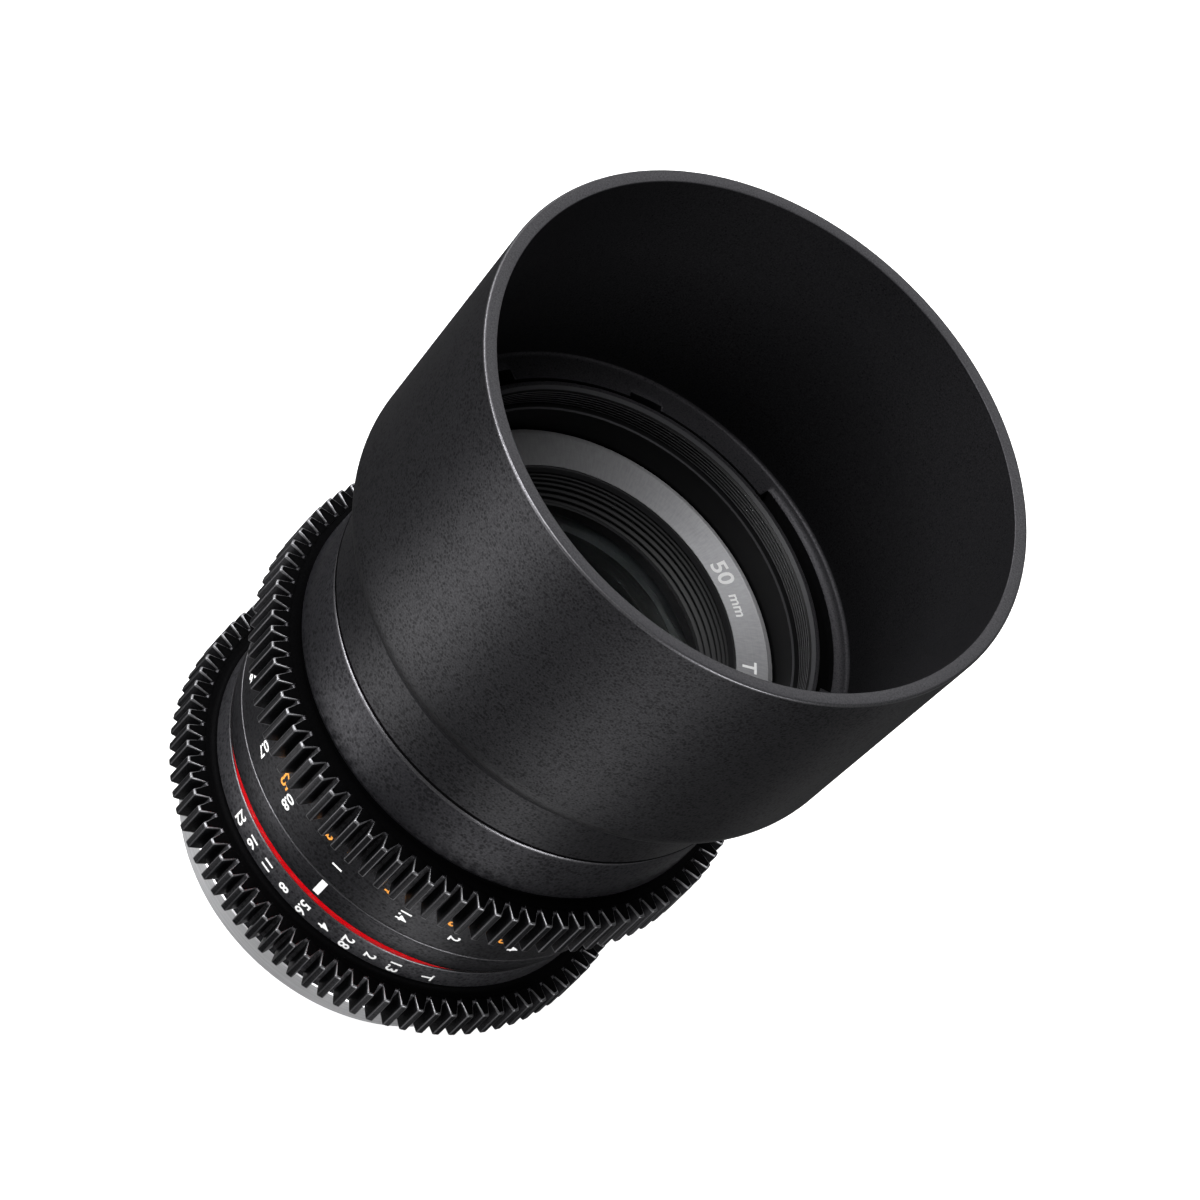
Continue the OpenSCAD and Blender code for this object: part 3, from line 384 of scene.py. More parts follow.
def pitted(name, light, dark, scale, level, rough, sheen, relief, paintedGlossShade=None):
    material, tree, shader = newMaterial(name)
    pits = addNode(tree, "ShaderNodeGroup", {"Scale": scale, "Level": level}, node_tree=pitTree)
    color = mixColor(tree, pits.outputs["Pit"], (*light, 1), (*dark, 1))
    tree.links.new(color, shader.inputs["Base Color"])
    pit, grain = speckNodes(tree, scale, level)  # the gloss is worked out here, outside the group
    grainGloss = calc(tree, "ADD", calc(tree, "MULTIPLY", grain, speck["grainGloss"]), speck["leastGloss"])
    pitGloss = calc(tree, "SUBTRACT", 1.0, calc(tree, "MULTIPLY", pit, speck["pitGloss"]))
    gloss = calc(tree, "MULTIPLY", calc(tree, "MULTIPLY", grainGloss, pitGloss), sheen)
    # Painted shade: the gloss dims towards the low end in z
    if paintedGlossShade:
        wearAndPaintedShade = mapRange(tree, objectParts(tree)[2], paintedGlossShade["low"] * mm, paintedGlossShade["high"] * mm, paintedGlossShade["share"])
        gloss = calc(tree, "MULTIPLY", gloss, wearAndPaintedShade)
    tree.links.new(gloss, shader.inputs["Specular IOR Level"])
    shader.inputs["Specular Tint"].default_value = speck["tint"]
    shader.inputs["Roughness"].default_value = rough
    bump(tree, shader, pits.outputs["Height"], relief, speck["depth"])
    return material


def machined(name, color, metal, rough, fineness, grain, rays=0.0, sheen=0.5):
    material, tree, shader = newMaterial(name)
    lines = addNode(tree, "ShaderNodeGroup", {"Fineness": fineness}, node_tree=lineTree)
    level = scaledSum(tree, lines.outputs["Lines"], 1.0 - rays, lines.outputs["Rays"], rays)
    dark = [c * (1 - turning["tone"]) for c in color] + [1]
    light = [min(1, c * (1 + turning["tone"])) for c in color] + [1]
    tree.links.new(mixColor(tree, level, dark, light), shader.inputs["Base Color"])
    shader.inputs["Metallic"].default_value = metal
    shader.inputs["Specular IOR Level"].default_value = sheen
    spread = calc(tree, "MULTIPLY", level, turning["rough"])
    roughLevel = calc(tree, "ADD", spread, rough - turning["rough"] / 2)
    tree.links.new(roughLevel, shader.inputs["Roughness"])
    bump(tree, shader, lines.outputs["Lines"], grain, turning["depth"])
    return material


# Lets a turned finish throw a fan of light round the axis
def brushRound(material, stretch):
    tree = material.node_tree
    shader = tree.nodes["Principled BSDF"]
    flat = {0: objectSpot(tree), 1: (1, 1, 0)}
    radial = addNode(tree, "ShaderNodeVectorMath", flat, operation="MULTIPLY").outputs[0]
    inWorld = addNode(
        tree, "ShaderNodeVectorTransform", {0: radial}, vector_type="VECTOR", convert_from="OBJECT",
        convert_to="WORLD",
    ).outputs[0]
    unit = addNode(tree, "ShaderNodeVectorMath", {0: inWorld}, operation="NORMALIZE").outputs[0]
    tree.links.new(unit, shader.inputs["Tangent"])
    shader.inputs["Anisotropic"].default_value = stretch


def printed(name, color):
    ink = {"scale": 2500.0, "detail": 2.0, "wearAndPaintedShade": 0.9, "rough": 0.5}
    material, tree, shader = newMaterial(name)
    spots = noise(tree, objectSpot(tree), ink["scale"], ink["detail"])
    wearAndPaintedShade = [c * ink["wearAndPaintedShade"] for c in color] + [1]
    tree.links.new(mixColor(tree, spots, wearAndPaintedShade, (*color, 1)), shader.inputs["Base Color"])
    shader.inputs["Roughness"].default_value = ink["rough"]
    return material


# The hood's gloss has painted shade towards its shoulder
hoodBlack = pitted(
    "hoodBlack", light=(0.004, 0.004, 0.0047), dark=(0.002, 0.002, 0.0024), scale=2200.0, level=0.45,
    rough=0.42, sheen=0.45, relief=0.1, paintedGlossShade={"low": 68.0, "high": 80.0, "share": 0.6},
)
bandBlack = pitted(
    "bandBlack", light=(0.004, 0.004, 0.0047), dark=(0.002, 0.002, 0.0024), scale=2000.0, level=0.47,
    rough=0.42, sheen=0.42, relief=0.1,
)
# Painted shade for the cove behind the hood's shoulder
foldPaintedShade = pitted(
    "foldPaintedShade", light=(0.004, 0.004, 0.0046), dark=(0.003, 0.003, 0.0034), scale=2200.0, level=0.2,
    rough=0.5, sheen=0.13, relief=0.05,
)
rimBlack = pitted(
    "rimBlack", light=(0.008, 0.008, 0.009), dark=(0.006, 0.006, 0.007), scale=2600.0, level=-0.4,
    rough=0.42, sheen=0.42, relief=0.04,
)
# Painted highlight: a lighter, glossier copy that shows edges as light lines
edgePaintedHighlight = pitted(
    "edgePaintedHighlight", light=(0.02, 0.02, 0.021), dark=(0.02, 0.02, 0.021), scale=2600.0, level=-0.4,
    rough=0.3, sheen=1.0, relief=0.02,
)
# Painted light: the hood's floor is made lighter than the rest of the hood
paintedLightFloor = pitted(
    "paintedLightFloor", light=(0.011, 0.0107, 0.012), dark=(0.007, 0.007, 0.008), scale=2600.0, level=0.26,
    rough=0.5, sheen=0.3, relief=0.08,
)
ringBlack = pitted(
    "ringBlack", light=(0.005, 0.005, 0.006), dark=(0.0025, 0.0025, 0.003), scale=1750.0, level=0.46,
    rough=0.40, sheen=0.54, relief=0.1,
)
# Painted light: the iris band is a lighter, glossier copy of ringBlack
irisPaintedLight = pitted(
    "irisPaintedLight", light=(0.014, 0.014, 0.0155), dark=(0.006, 0.006, 0.007), scale=1750.0, level=0.46,
    rough=0.42, sheen=0.9, relief=0.1,
)
# Painted shade: the teeth are a darker, duller copy of ringBlack
toothPaintedShade = pitted(
    "toothPaintedShade", light=(0.003, 0.003, 0.0035), dark=(0.002, 0.002, 0.002), scale=2400.0, level=0.2,
    rough=0.38, sheen=0.26, relief=0.05,
)
hoodInside = pitted(
    "hoodInside", light=(0.0028, 0.0028, 0.0032), dark=(0.0016, 0.0016, 0.002), scale=2800.0, level=0.25,
    rough=0.55, sheen=0.18, relief=0.1,
)
# Painted shade for grooves, gaps, slots and tooth ends
groovePaintedShade = pitted(
    "groovePaintedShade", light=(0.0008, 0.0008, 0.0009), dark=(0.0006, 0.0006, 0.0006), scale=2400.0, level=-0.4,
    rough=0.6, sheen=0.02, relief=0.05,
)
# Painted highlight: a light metal copy that shows the teeth's edges as light lines
toothEdgePaintedHighlight = machined(
    "toothEdgePaintedHighlight", (0.17, 0.17, 0.178), metal=0.85, rough=0.34, fineness=5000.0, grain=0.02,
)
innerBlack = machined(
    "innerBlack", (0.003, 0.003, 0.0033), metal=0.0, rough=0.42, fineness=4000.0, grain=0.1, sheen=0.15,
)
# Painted highlights: lighter copies for the thread's crests and for the ledge and rim edges
crestPaintedHighlight = machined(
    "crestPaintedHighlight", (0.085, 0.085, 0.09), metal=0.0, rough=0.45, fineness=4000.0, grain=0.05, sheen=0.6,
)
# Painted light: cell parts deep in the lens are made lighter where little light reaches
cellPaintedLight = machined(
    "cellPaintedLight", (0.05, 0.05, 0.053), metal=0.0, rough=0.5, fineness=4000.0, grain=0.05, sheen=0.4,
)
ledgePaintedHighlight = machined(
    "ledgePaintedHighlight", (0.03, 0.03, 0.033), metal=0.0, rough=0.5, fineness=4000.0, grain=0.05, sheen=0.4,
)
baffleBlack = machined(
    "baffleBlack", (0.012, 0.012, 0.013), metal=0.0, rough=0.5, fineness=4000.0, grain=0.05, sheen=0.3,
)
bladeBlack = machined(
    "bladeBlack", (0.022, 0.022, 0.024), metal=0.0, rough=0.4, fineness=3500.0, grain=0.1,
)
mountSilver = machined(
    "mountSilver", (0.70, 0.70, 0.715), metal=0.75, rough=0.34, fineness=5000.0, grain=0.15,
)
screwSteel = machined(
    "screwSteel", (0.45, 0.45, 0.46), metal=1.0, rough=0.3, fineness=5000.0, grain=0.1,
)
brassTurned = machined(
    "brassTurned", (0.55, 0.38, 0.14), metal=1.0, rough=0.32, fineness=5000.0, grain=0.1,
)
nameGrey = machined(
    "nameGrey", (0.37, 0.37, 0.383), metal=0.95, rough=0.60, fineness=5000.0, grain=0.05, rays=0.75,
)
brushRound(nameGrey, stretch=0.55)
whitePrint = printed("whitePrint", (0.85, 0.85, 0.85))
orangePrint = printed("orangePrint", (0.85, 0.32, 0.03))

# Red line that tapers to a point at both ends of its arc
redLine = {
    "middle": 268.0, "full": 27.0, "end": 51.0, "z": 20.95, "half": 0.8, "soft": 0.12, "rough": 0.24,
    "sheen": 0.6, "tint": (1.0, 0.7, 0.4, 1), "red": (0.55, 0.0, 0.004, 1), "black": (0.006, 0.006, 0.007, 1),
}
redSatin, redTree, redShader = newMaterial("redSatin")
redX, redY, redZ = objectParts(redTree)
redCos = math.cos(math.radians(redLine["middle"]))
redSin = math.sin(math.radians(redLine["middle"]))
redAlong = scaledSum(redTree, redX, redCos, redY, redSin)
redAcross = scaledSum(redTree, redY, redCos, redX, -redSin)
redAngle = calc(redTree, "ABSOLUTE", calc(redTree, "ARCTAN2", redAcross, redAlong))
redWidth = mapRange(
    redTree, redAngle, math.radians(redLine["full"]), math.radians(redLine["end"]), redLine["half"] * mm,
    -redLine["soft"] * mm,
)
redOff = calc(redTree, "ABSOLUTE", calc(redTree, "SUBTRACT", redZ, redLine["z"] * mm))
redInside = calc(redTree, "SUBTRACT", redWidth, redOff)
redMask = mapRange(redTree, redInside, 0.0, redLine["soft"] * mm, curve="LINEAR")
redColor = mixColor(redTree, redMask, redLine["black"], redLine["red"])
redTree.links.new(redColor, redShader.inputs["Base Color"])
redShader.inputs["Roughness"].default_value = redLine["rough"]
redShader.inputs["Specular IOR Level"].default_value = redLine["sheen"]
redShader.inputs["Specular Tint"].default_value = redLine["tint"]

# Coated glass, with a trace of dust
glassLook = {"color": (0.85, 0.9, 0.89, 1), "bend": 1.5, "dustScale": 900.0, "dustDetail": 2.0, "dust": 0.02}
coatedGlass, glassTree, glassShader = newMaterial("coatedGlass")
glassShader.inputs["Base Color"].default_value = glassLook["color"]
glassShader.inputs["Transmission Weight"].default_value = 1.0
glassShader.inputs["IOR"].default_value = glassLook["bend"]
glassDust = noise(glassTree, objectSpot(glassTree), glassLook["dustScale"], glassLook["dustDetail"])
glassHaze = calc(glassTree, "MULTIPLY", glassDust, glassLook["dust"])
glassTree.links.new(glassHaze, glassShader.inputs["Roughness"])
print("stage: materials made")

# Finishes of the solids, by slot, with those that differ by name
slotMaterials = {
    "black_anodised": ringBlack, "inner_black": innerBlack, "hood_black": hoodBlack,
    "mount_steel": mountSilver, "screw_steel": screwSteel, "red_paint": redSatin, "brass": brassTurned,
    "satin_grey": nameGrey, "blade_black": bladeBlack, "optical_glass": coatedGlass,
}
# The front cell and spacer get painted light
solidMaterials = {
    "front_barrel": innerBlack, "guide_tube": innerBlack, "front_spacer": cellPaintedLight, "front_cell": cellPaintedLight,
    "front_retainer": baffleBlack,
}
for part in frame["record"]["subparts"]:
    cadMesh = frame["nodes"][part["node"]].data
    cadMesh.materials.clear()
    cadMesh.materials.append(solidMaterials.get(part["node"], slotMaterials[part["material_slot"]]))

# Hood: bore, floor, mouth, rim, wall, shoulder, cove and rear band
hood = {
    "low": 56.05, "high": 112.25, "bore": 31.8, "floorZ": 73.25, "floorR": 36.1, "mouth": 38.2, "rim": 40.105,
    "wall": 38.47, "shoulder": 74.05, "round": 6.6, "turn": 60.0, "bandTop": 33.0, "bandEnd": 32.55,
    "bandDraft": 0.01, "tail": 0.12, "edge": 0.62, "mouthEdge": 0.15, "rimRound": 0.35, "fillet": 0.6,
    "gapR": 32.15, "slots": ((24, 79), (153, 208), (268, 323)), "slotR": 33.8, "slotZ": 69.65,
    "slotWall": 0.02, "notch": (112, 120), "notchR": 32.9, "notchDeep": 1.5, "notchWall": 0.01,
    "sharp": 28, "segments": 720,
}
hoodLean = math.atan((hood["rim"] - hood["wall"]) / (hood["high"] - hood["shoulder"]))
hoodTurn = math.radians(hood["turn"])
roundX = hood["wall"] - hood["round"] * math.cos(hoodLean)
roundZ = hood["shoulder"] + hood["round"] * math.sin(hoodLean)
lowX = roundX + hood["round"] * math.cos(hoodTurn)
lowZ = roundZ - hood["round"] * math.sin(hoodTurn)
cove = (lowX - hood["bandTop"]) / (1 - math.cos(hoodTurn))
coveX = lowX + cove * math.cos(hoodTurn)
coveZ = lowZ - cove * math.sin(hoodTurn)
hoodOuter = (
    arc(hood["mouth"] + hood["mouthEdge"], hood["high"] - hood["mouthEdge"], hood["mouthEdge"], 180, 90, 3)
    + arc(hood["rim"] - hood["rimRound"], hood["high"] - hood["rimRound"], hood["rimRound"], 90, 0, 6)
    + arc(roundX, roundZ, hood["round"], -math.degrees(hoodLean), -hood["turn"], 24)
    + arc(coveX, coveZ, cove, 180 - hood["turn"], 180, 14)[1:]
    + [(hood["bandEnd"] + hood["bandDraft"], hood["low"] + hood["edge"])]
    + [(hood["bandEnd"], hood["low"] + hood["tail"]), (hood["bandEnd"] - hood["tail"], hood["low"])]
)
hoodInner = [
    (hood["bore"], hood["low"]), (hood["bore"], hood["slotZ"]), (hood["bore"], hood["floorZ"]),
    (hood["gapR"], hood["floorZ"]), (hood["notchR"], hood["floorZ"]),
    (hood["notchR"] + hood["notchWall"], hood["floorZ"]), (hood["slotR"], hood["floorZ"]),
    (hood["slotR"] + hood["slotWall"], hood["floorZ"]),
] + arc(hood["floorR"] - hood["fillet"], hood["floorZ"] + hood["fillet"], hood["fillet"], -90, 0, 6)
hoodBody = turned("hoodBody", hoodOuter + hoodInner, hoodBlack, hood["sharp"], hood["segments"])

# The slots and the notch are sunk into the floor
for vert in hoodBody.data.vertices:
    r = math.hypot(vert.co.x, vert.co.y) / mm
    angle = math.degrees(math.atan2(vert.co.y, vert.co.x)) % 360
    onFloor = abs(vert.co.z / mm - hood["floorZ"]) < near
    inSlot = r < hood["slotR"] + hood["slotWall"] / 2 and any(a <= angle <= b for a, b in hood["slots"])
    inNotch = r < hood["notchR"] + hood["notchWall"] / 2 and hood["notch"][0] <= angle <= hood["notch"][1]
    if onFloor and inSlot:
        vert.co.z = hood["slotZ"] * mm
    elif onFloor and inNotch:
        vert.co.z -= hood["notchDeep"] * mm

# Where each finish, painted shade and painted light of the hood begins, from the surfaces named above
hoodZone = {
    "rim": 0.4, "edge": 0.5, "edgeRise": (0.1, 0.95), "underFloor": 1.0, "slotOut": 0.1, "floorShare": 0.7,
    "floorRise": 0.3, "wallOut": 0.1, "foldRise": -0.1,
}


def hoodFinishAndShade(face):
    z, reach = faceSpot(face)
    rise = face.normal.z
    slotLow = hood["slotZ"] - hoodZone["underFloor"]
    share = (z - hood["floorZ"]) / (hood["high"] - hood["floorZ"])
    mouthSide = hood["floorR"] + (hood["mouth"] - hood["floorR"]) * share
    # The rim's outer round gets the painted highlight
    if z > hood["high"] - hoodZone["rim"] and reach > hood["mouth"] - near:
        onEdge = hoodZone["edgeRise"][0] < rise < hoodZone["edgeRise"][1]
        return edgePaintedHighlight if onEdge and reach > hood["rim"] - hoodZone["edge"] else rimBlack
    # Painted shade in the gap at the bore and down the slots
    if z < hood["floorZ"] + near and reach < hood["gapR"]:
        return groovePaintedShade
    if slotLow < z < hood["floorZ"] - near and reach < hood["slotR"] + hoodZone["slotOut"]:
        return groovePaintedShade
    # The hood's floor gets painted light
    onFloor = abs(z - hood["floorZ"]) < hood["fillet"] * hoodZone["floorShare"]
    if onFloor and reach < hood["floorR"] and rise > hoodZone["floorRise"]:
        return paintedLightFloor
    if z > slotLow and reach < max(hood["bore"], mouthSide) + hoodZone["wallOut"]:
        return hoodInside
    # Painted shade on the hood's rear edge, at the gap to the focus ring
    if z < hood["low"] + hood["edge"] - near:
        return groovePaintedShade
    # The cove behind the shoulder gets painted shade
    if coveZ < z < lowZ and rise < hoodZone["foldRise"]:
        return foldPaintedShade
    return bandBlack if z < lowZ else hoodBlack


hoodFinishesAndShades = (hoodInside, paintedLightFloor, groovePaintedShade, rimBlack, bandBlack, edgePaintedHighlight, foldPaintedShade)
paintFaces(hoodBody, hoodFinishesAndShades, hoodFinishAndShade)
place(hoodBody, "hood", "hood_black", "lens_hood")
print("stage: hood made")

# Focus ring: scale, gear root, neck and smooth barrel
focus = {
    "low": 27.15, "gearLow": 37.1, "gearFace": 44.28, "barrelLow": 45.1, "high": 55.6, "bore": 29.92,
    "frontBore": 31.29, "stepZ": 53.6, "scaleRear": 31.86, "scaleFront": 32.1, "root": 33.82, "neck": 31.5,
    "barrel": 32.3, "lip": 0.4, "lipDraft": 0.03, "lipIn": 0.34, "lipFlat": 0.42, "barrelRound": 1.2,
    "rootRound": 0.32, "rootEdge": 0.1, "scaleCove": 0.5, "scaleRound": 0.15, "sharp": 40,
}
focusOutline = (
    [(focus["bore"], focus["stepZ"]), (focus["frontBore"], focus["stepZ"])]
    + [(focus["frontBore"], focus["high"]), (focus["barrel"] - focus["lipFlat"], focus["high"])]
    + [(focus["barrel"] - focus["lipIn"], focus["high"] - hair)]
    + [(focus["barrel"] - focus["lipDraft"], focus["high"] - focus["lip"])]
    + arc(
        focus["barrel"] - focus["barrelRound"], focus["barrelLow"] + focus["barrelRound"],
        focus["barrelRound"], 0, -78, 8,
    )
    + [(focus["neck"], focus["barrelLow"] + hair), (focus["neck"], focus["gearFace"])]
    + arc(
        focus["root"] - focus["rootRound"], focus["gearFace"] - focus["rootRound"], focus["rootRound"],
        90, 0, 5,
    )
    + [(focus["root"], focus["gearLow"] + focus["rootEdge"])]
    + [(focus["root"] - focus["rootEdge"], focus["gearLow"])]
    + arc(
        focus["scaleFront"] + focus["scaleCove"], focus["gearLow"] - focus["scaleCove"], focus["scaleCove"],
        90, 180, 5,
    )
    + arc(
        focus["scaleRear"] - focus["scaleRound"], focus["low"] + focus["scaleRound"], focus["scaleRound"],
        0, -90, 3,
    )
    + [(focus["bore"], focus["low"])]
)
focusLip = {"low": focus["high"] - focus["lip"], "rise": (0.3, 0.97)}
# Painted shade in the neck groove in front of the gear
focusGroove = {
    "low": focus["gearFace"] - 0.1, "high": focus["barrelLow"] + 0.12, "reach": focus["root"] - 0.3,
}
focusBody = turned("focusBody", focusOutline, ringBlack, focus["sharp"])
paintRing(focusBody, ringBlack, focusLip, focusGroove)
place(focusBody, "focus_ring", "black_anodised", "focus_ring")
focusGear = {
    "teeth": 88, "tip": 36.0, "depth": 2.2, "tipWidth": 0.95, "rootWidth": 1.85, "edge": 0.14, "end": 0.3,
    "low": 37.13, "high": 44.39, "base": 33.3,
}
place(gearTeeth("focusTeeth", focusGear, toothPaintedShade, toothEdgePaintedHighlight), "focus_ring", "black_anodised")
print("stage: focus ring made")

# Iris ring: gear root and number band
iris = {
    "low": 9.6, "gearFace": 15.38, "high": 20.1, "bore": 28.4, "band": 30.2, "root": 32.22, "lipFlat": 0.35,
    "bandRound": 0.32, "cove": 0.8, "rootRound": 0.32, "rootEdge": 0.1, "sharp": 40,
}
irisOutline = (
    [(iris["bore"], iris["high"]), (iris["band"] - iris["lipFlat"], iris["high"])]
    + arc(iris["band"] - iris["bandRound"], iris["high"] - iris["bandRound"], iris["bandRound"], 75, 0, 4)
    + arc(iris["band"] + iris["cove"], iris["gearFace"] + iris["cove"], iris["cove"], 180, 270, 8)
    + arc(iris["root"] - iris["rootRound"], iris["gearFace"] - iris["rootRound"], iris["rootRound"], 90, 0, 5)
    + [(iris["root"], iris["low"] + iris["rootEdge"]), (iris["root"] - iris["rootEdge"], iris["low"])]
    + [(iris["bore"], iris["low"])]
)
irisLip = {"low": iris["high"] - 0.28, "rise": (0.2, 0.97)}
# Painted shade in the cove in front of the gear
irisGroove = {"low": iris["gearFace"] - 0.1, "high": iris["gearFace"] + 0.78, "reach": iris["root"] - 0.3}
# The iris band is painted lighter
irisBody = turned("irisBody", irisOutline, irisPaintedLight, iris["sharp"])
paintRing(irisBody, irisPaintedLight, irisLip, irisGroove)
place(irisBody, "iris_ring", "black_anodised", "iris_ring")
irisGear = {
    "teeth": 84, "tip": 34.4, "depth": 2.2, "tipWidth": 0.95, "rootWidth": 1.85, "edge": 0.14, "end": 0.3,
    "low": 9.63, "high": 15.49, "base": 31.7,
}
place(gearTeeth("irisTeeth", irisGear, toothPaintedShade, toothEdgePaintedHighlight), "iris_ring", "black_anodised")
print("stage: iris ring made")

# Index ring and red ring on one taper
index = {"bore": 28.37, "low": 21.8, "high": 27.0, "rear": 30.68, "front": 31.84, "edge": 0.2, "sharp": 40}
indexOutline = [(index["bore"], index["high"]), (index["front"] - index["edge"], index["high"])]
indexOutline += arc(index["front"] - index["edge"], index["high"] - index["edge"], index["edge"], 80, 12, 3)
indexOutline += [(index["rear"], index["low"]), (index["bore"], index["low"])]
indexLip = {"low": index["high"] - 0.19, "rise": (0.1, 0.97)}
indexBody = turned("indexBody", indexOutline, ringBlack, index["sharp"])
paintRing(indexBody, ringBlack, indexLip)
place(indexBody, "barrel", "black_anodised", "index_ring")
accent = {
    "bore": 28.37, "low": 20.25, "high": 21.8, "rear": 30.25, "front": 30.65, "edge": 0.12, "edgeOut": 0.04,
    "edgeIn": 0.08, "sharp": 40,
}
accentOutline = [
    (accent["bore"], accent["high"]), (accent["front"], accent["high"]),
    (accent["rear"] + accent["edgeOut"], accent["low"] + accent["edge"]),
    (accent["rear"] - accent["edgeIn"], accent["low"]), (accent["bore"], accent["low"]),
]
accentBody = turned("accentBody", accentOutline, redSatin, accent["sharp"])
place(accentBody, "barrel", "red_paint", "accent_ring")

# Filter thread with the ledge under it and the rim over it
thread = {
    "foot": 70.01, "low": 70.06, "high": 73.05, "count": 6, "wall": 30.49, "ridge": 30.2, "ledge": 29.24,
    "ledgeEdge": 0.03, "ledgeWide": 0.34, "gap": 0.03, "rise": 0.38, "fall": 0.72, "end": 0.98, "neck": 0.05,
    "rimIn": 30.9, "rimOut": 31.45, "rimZ": 73.52, "rimThick": 0.015, "sharp": 20,
}
threadOutline = [
    (thread["wall"], thread["foot"]), (thread["ledge"], thread["foot"]),
    (thread["ledge"], thread["low"] - thread["ledgeEdge"]),
    (thread["ledge"] + thread["ledgeEdge"], thread["low"]),
    (thread["ledge"] + thread["ledgeWide"], thread["low"]),
]
threadStep = (thread["high"] - thread["low"]) / thread["count"]
for k in range(thread["count"]):
    base = thread["low"] + threadStep * k
    threadOutline += [
        (thread["wall"] - thread["gap"], base + hair),
        (thread["ridge"], base + threadStep * thread["rise"]),
        (thread["ridge"], base + threadStep * thread["fall"]),
        (thread["wall"] - thread["gap"], base + threadStep * thread["end"]),
    ]
threadOutline += [
    (thread["wall"] - hair, thread["high"] + thread["neck"]), (thread["rimIn"], thread["rimZ"]),
    (thread["rimOut"], thread["rimZ"]), (thread["rimOut"], thread["rimZ"] - thread["rimThick"]),
    (thread["rimIn"] + hair / 2, thread["rimZ"] - thread["rimThick"]),
    (thread["wall"], thread["high"] + hair),
]
threadZone = {"ledge": 0.3, "ridge": 0.01, "neck": 0.04}


# Painted highlights on the crests and the ledge, and the floor's painted light on the rim
def threadFinishAndLight(face):
    z, reach = faceSpot(face)
    if z > thread["rimZ"] - near:
        return paintedLightFloor
    if reach < thread["ledge"] + threadZone["ledge"] or z > thread["high"] + threadZone["neck"]:
        return ledgePaintedHighlight
    return crestPaintedHighlight if abs(reach - thread["ridge"]) < threadZone["ridge"] else innerBlack


filterThread = turned("filterThread", threadOutline, innerBlack, thread["sharp"])
paintFaces(filterThread, (ledgePaintedHighlight, crestPaintedHighlight, paintedLightFloor), threadFinishAndLight)
place(filterThread, "barrel", "black_anodised")

# Name ring with a wide outer chamfer, and the ridged cone inside it
nameRing = {
    "bore": 23.36, "outer": 28.9, "edge": 28.0, "low": 64.25, "outerZ": 65.3, "edgeZ": 65.75, "boreZ": 65.25,
    "sharp": 15,
}
nameOutline = [
    (nameRing["bore"], nameRing["low"]), (nameRing["outer"], nameRing["low"]),
    (nameRing["outer"], nameRing["outerZ"]), (nameRing["edge"], nameRing["edgeZ"]),
    (nameRing["bore"], nameRing["boreZ"]),
]
nameBody = turned("nameBody", nameOutline, nameGrey, nameRing["sharp"])
place(nameBody, "focus_unit", "satin_grey", "name_ring")
baffle = {
    "outer": 23.33, "topR": 22.98, "topZ": 65.2, "lowR": 20.6, "lowZ": 60.73, "land": 0.14, "deep": 0.7,
    "crest": 0.013, "ridges": (0.236, 0.36, 0.5, 0.667, 0.847), "wall": 0.1, "sharp": 20,
}


def onCone(share, deep=0.0):
    r = baffle["topR"] + (baffle["lowR"] - baffle["topR"]) * share
    z = baffle["topZ"] + (baffle["lowZ"] - baffle["topZ"]) * share
    return min(r + deep, baffle["outer"] - baffle["wall"]), z


coneOutline = [(baffle["outer"], baffle["lowZ"]), (baffle["outer"], baffle["topZ"])]
coneOutline += [onCone(0.0), onCone(baffle["land"])]
coneLast = baffle["land"]
for ridge in baffle["ridges"]:
    coneOutline.append(onCone((coneLast + ridge) / 2, baffle["deep"]))
    coneOutline += [onCone(ridge - baffle["crest"]), onCone(ridge + baffle["crest"])]
    coneLast = ridge
coneOutline += [onCone((coneLast + 1.0) / 2, baffle["deep"]), onCone(1.0)]
baffleCone = turned("baffleCone", coneOutline, baffleBlack, baffle["sharp"])
place(baffleCone, "focus_unit", "inner_black", "front_baffle")

# Front lens
glass = {
    "top": 62.5, "front": 58.0, "thick": 5.6, "rear": 220.0, "edge": 21.4, "pole": 0.02, "steps": 24,
    "sharp": 30, "segments": 160,
}


def sag(radius, x):
    return radius - math.sqrt(radius * radius - x * x)


glassStep = (glass["edge"] - glass["pole"]) / glass["steps"]
glassRadii = [glass["pole"] + glassStep * k for k in range(glass["steps"] + 1)]
glassFront = [(x, glass["top"] - sag(glass["front"], x)) for x in glassRadii]
glassRear = [(x, glass["top"] - glass["thick"] - sag(glass["rear"], x)) for x in reversed(glassRadii)]
frontGlass = turned("frontGlass", glassFront + glassRear, coatedGlass, glass["sharp"], glass["segments"])
place(frontGlass, "focus_unit", "optical_glass", "lens_1")
print("stage: rings, thread and glass made")

# Printed numbers, as thin meshes just over the surface
lettering = {"bold": 0.022, "curve": 4, "lift": 0.025, "ringLift": 0.02, "middle": 0.36, "sliver": 1e-12}


def textMesh(text, size, stretch):
    curve = bpy.data.curves.new("label", "FONT")
    curve.body = text
    curve.size = size * mm
    curve.align_x = "LEFT"
    curve.resolution_u = lettering["curve"]
    curve.offset = lettering["bold"] * mm * size
    curve.space_character = stretch
    source = bpy.data.objects.new("label", curve)
    scene.collection.objects.link(source)
    bpy.context.view_layer.update()
    graph = bpy.context.evaluated_depsgraph_get()
    mesh = bpy.data.meshes.new_from_object(source.evaluated_get(graph))
    bpy.data.objects.remove(source)
    bm = bmesh.new()
    bm.from_mesh(mesh)
    slivers = [face for face in bm.faces if face.calc_area() < lettering["sliver"]]
    bmesh.ops.delete(bm, geom=slivers, context="FACES")  # they would turn over when the label is wrapped
    for face in bm.faces:
        face.smooth = False
    bm.to_mesh(mesh)
    bm.free()
    return mesh


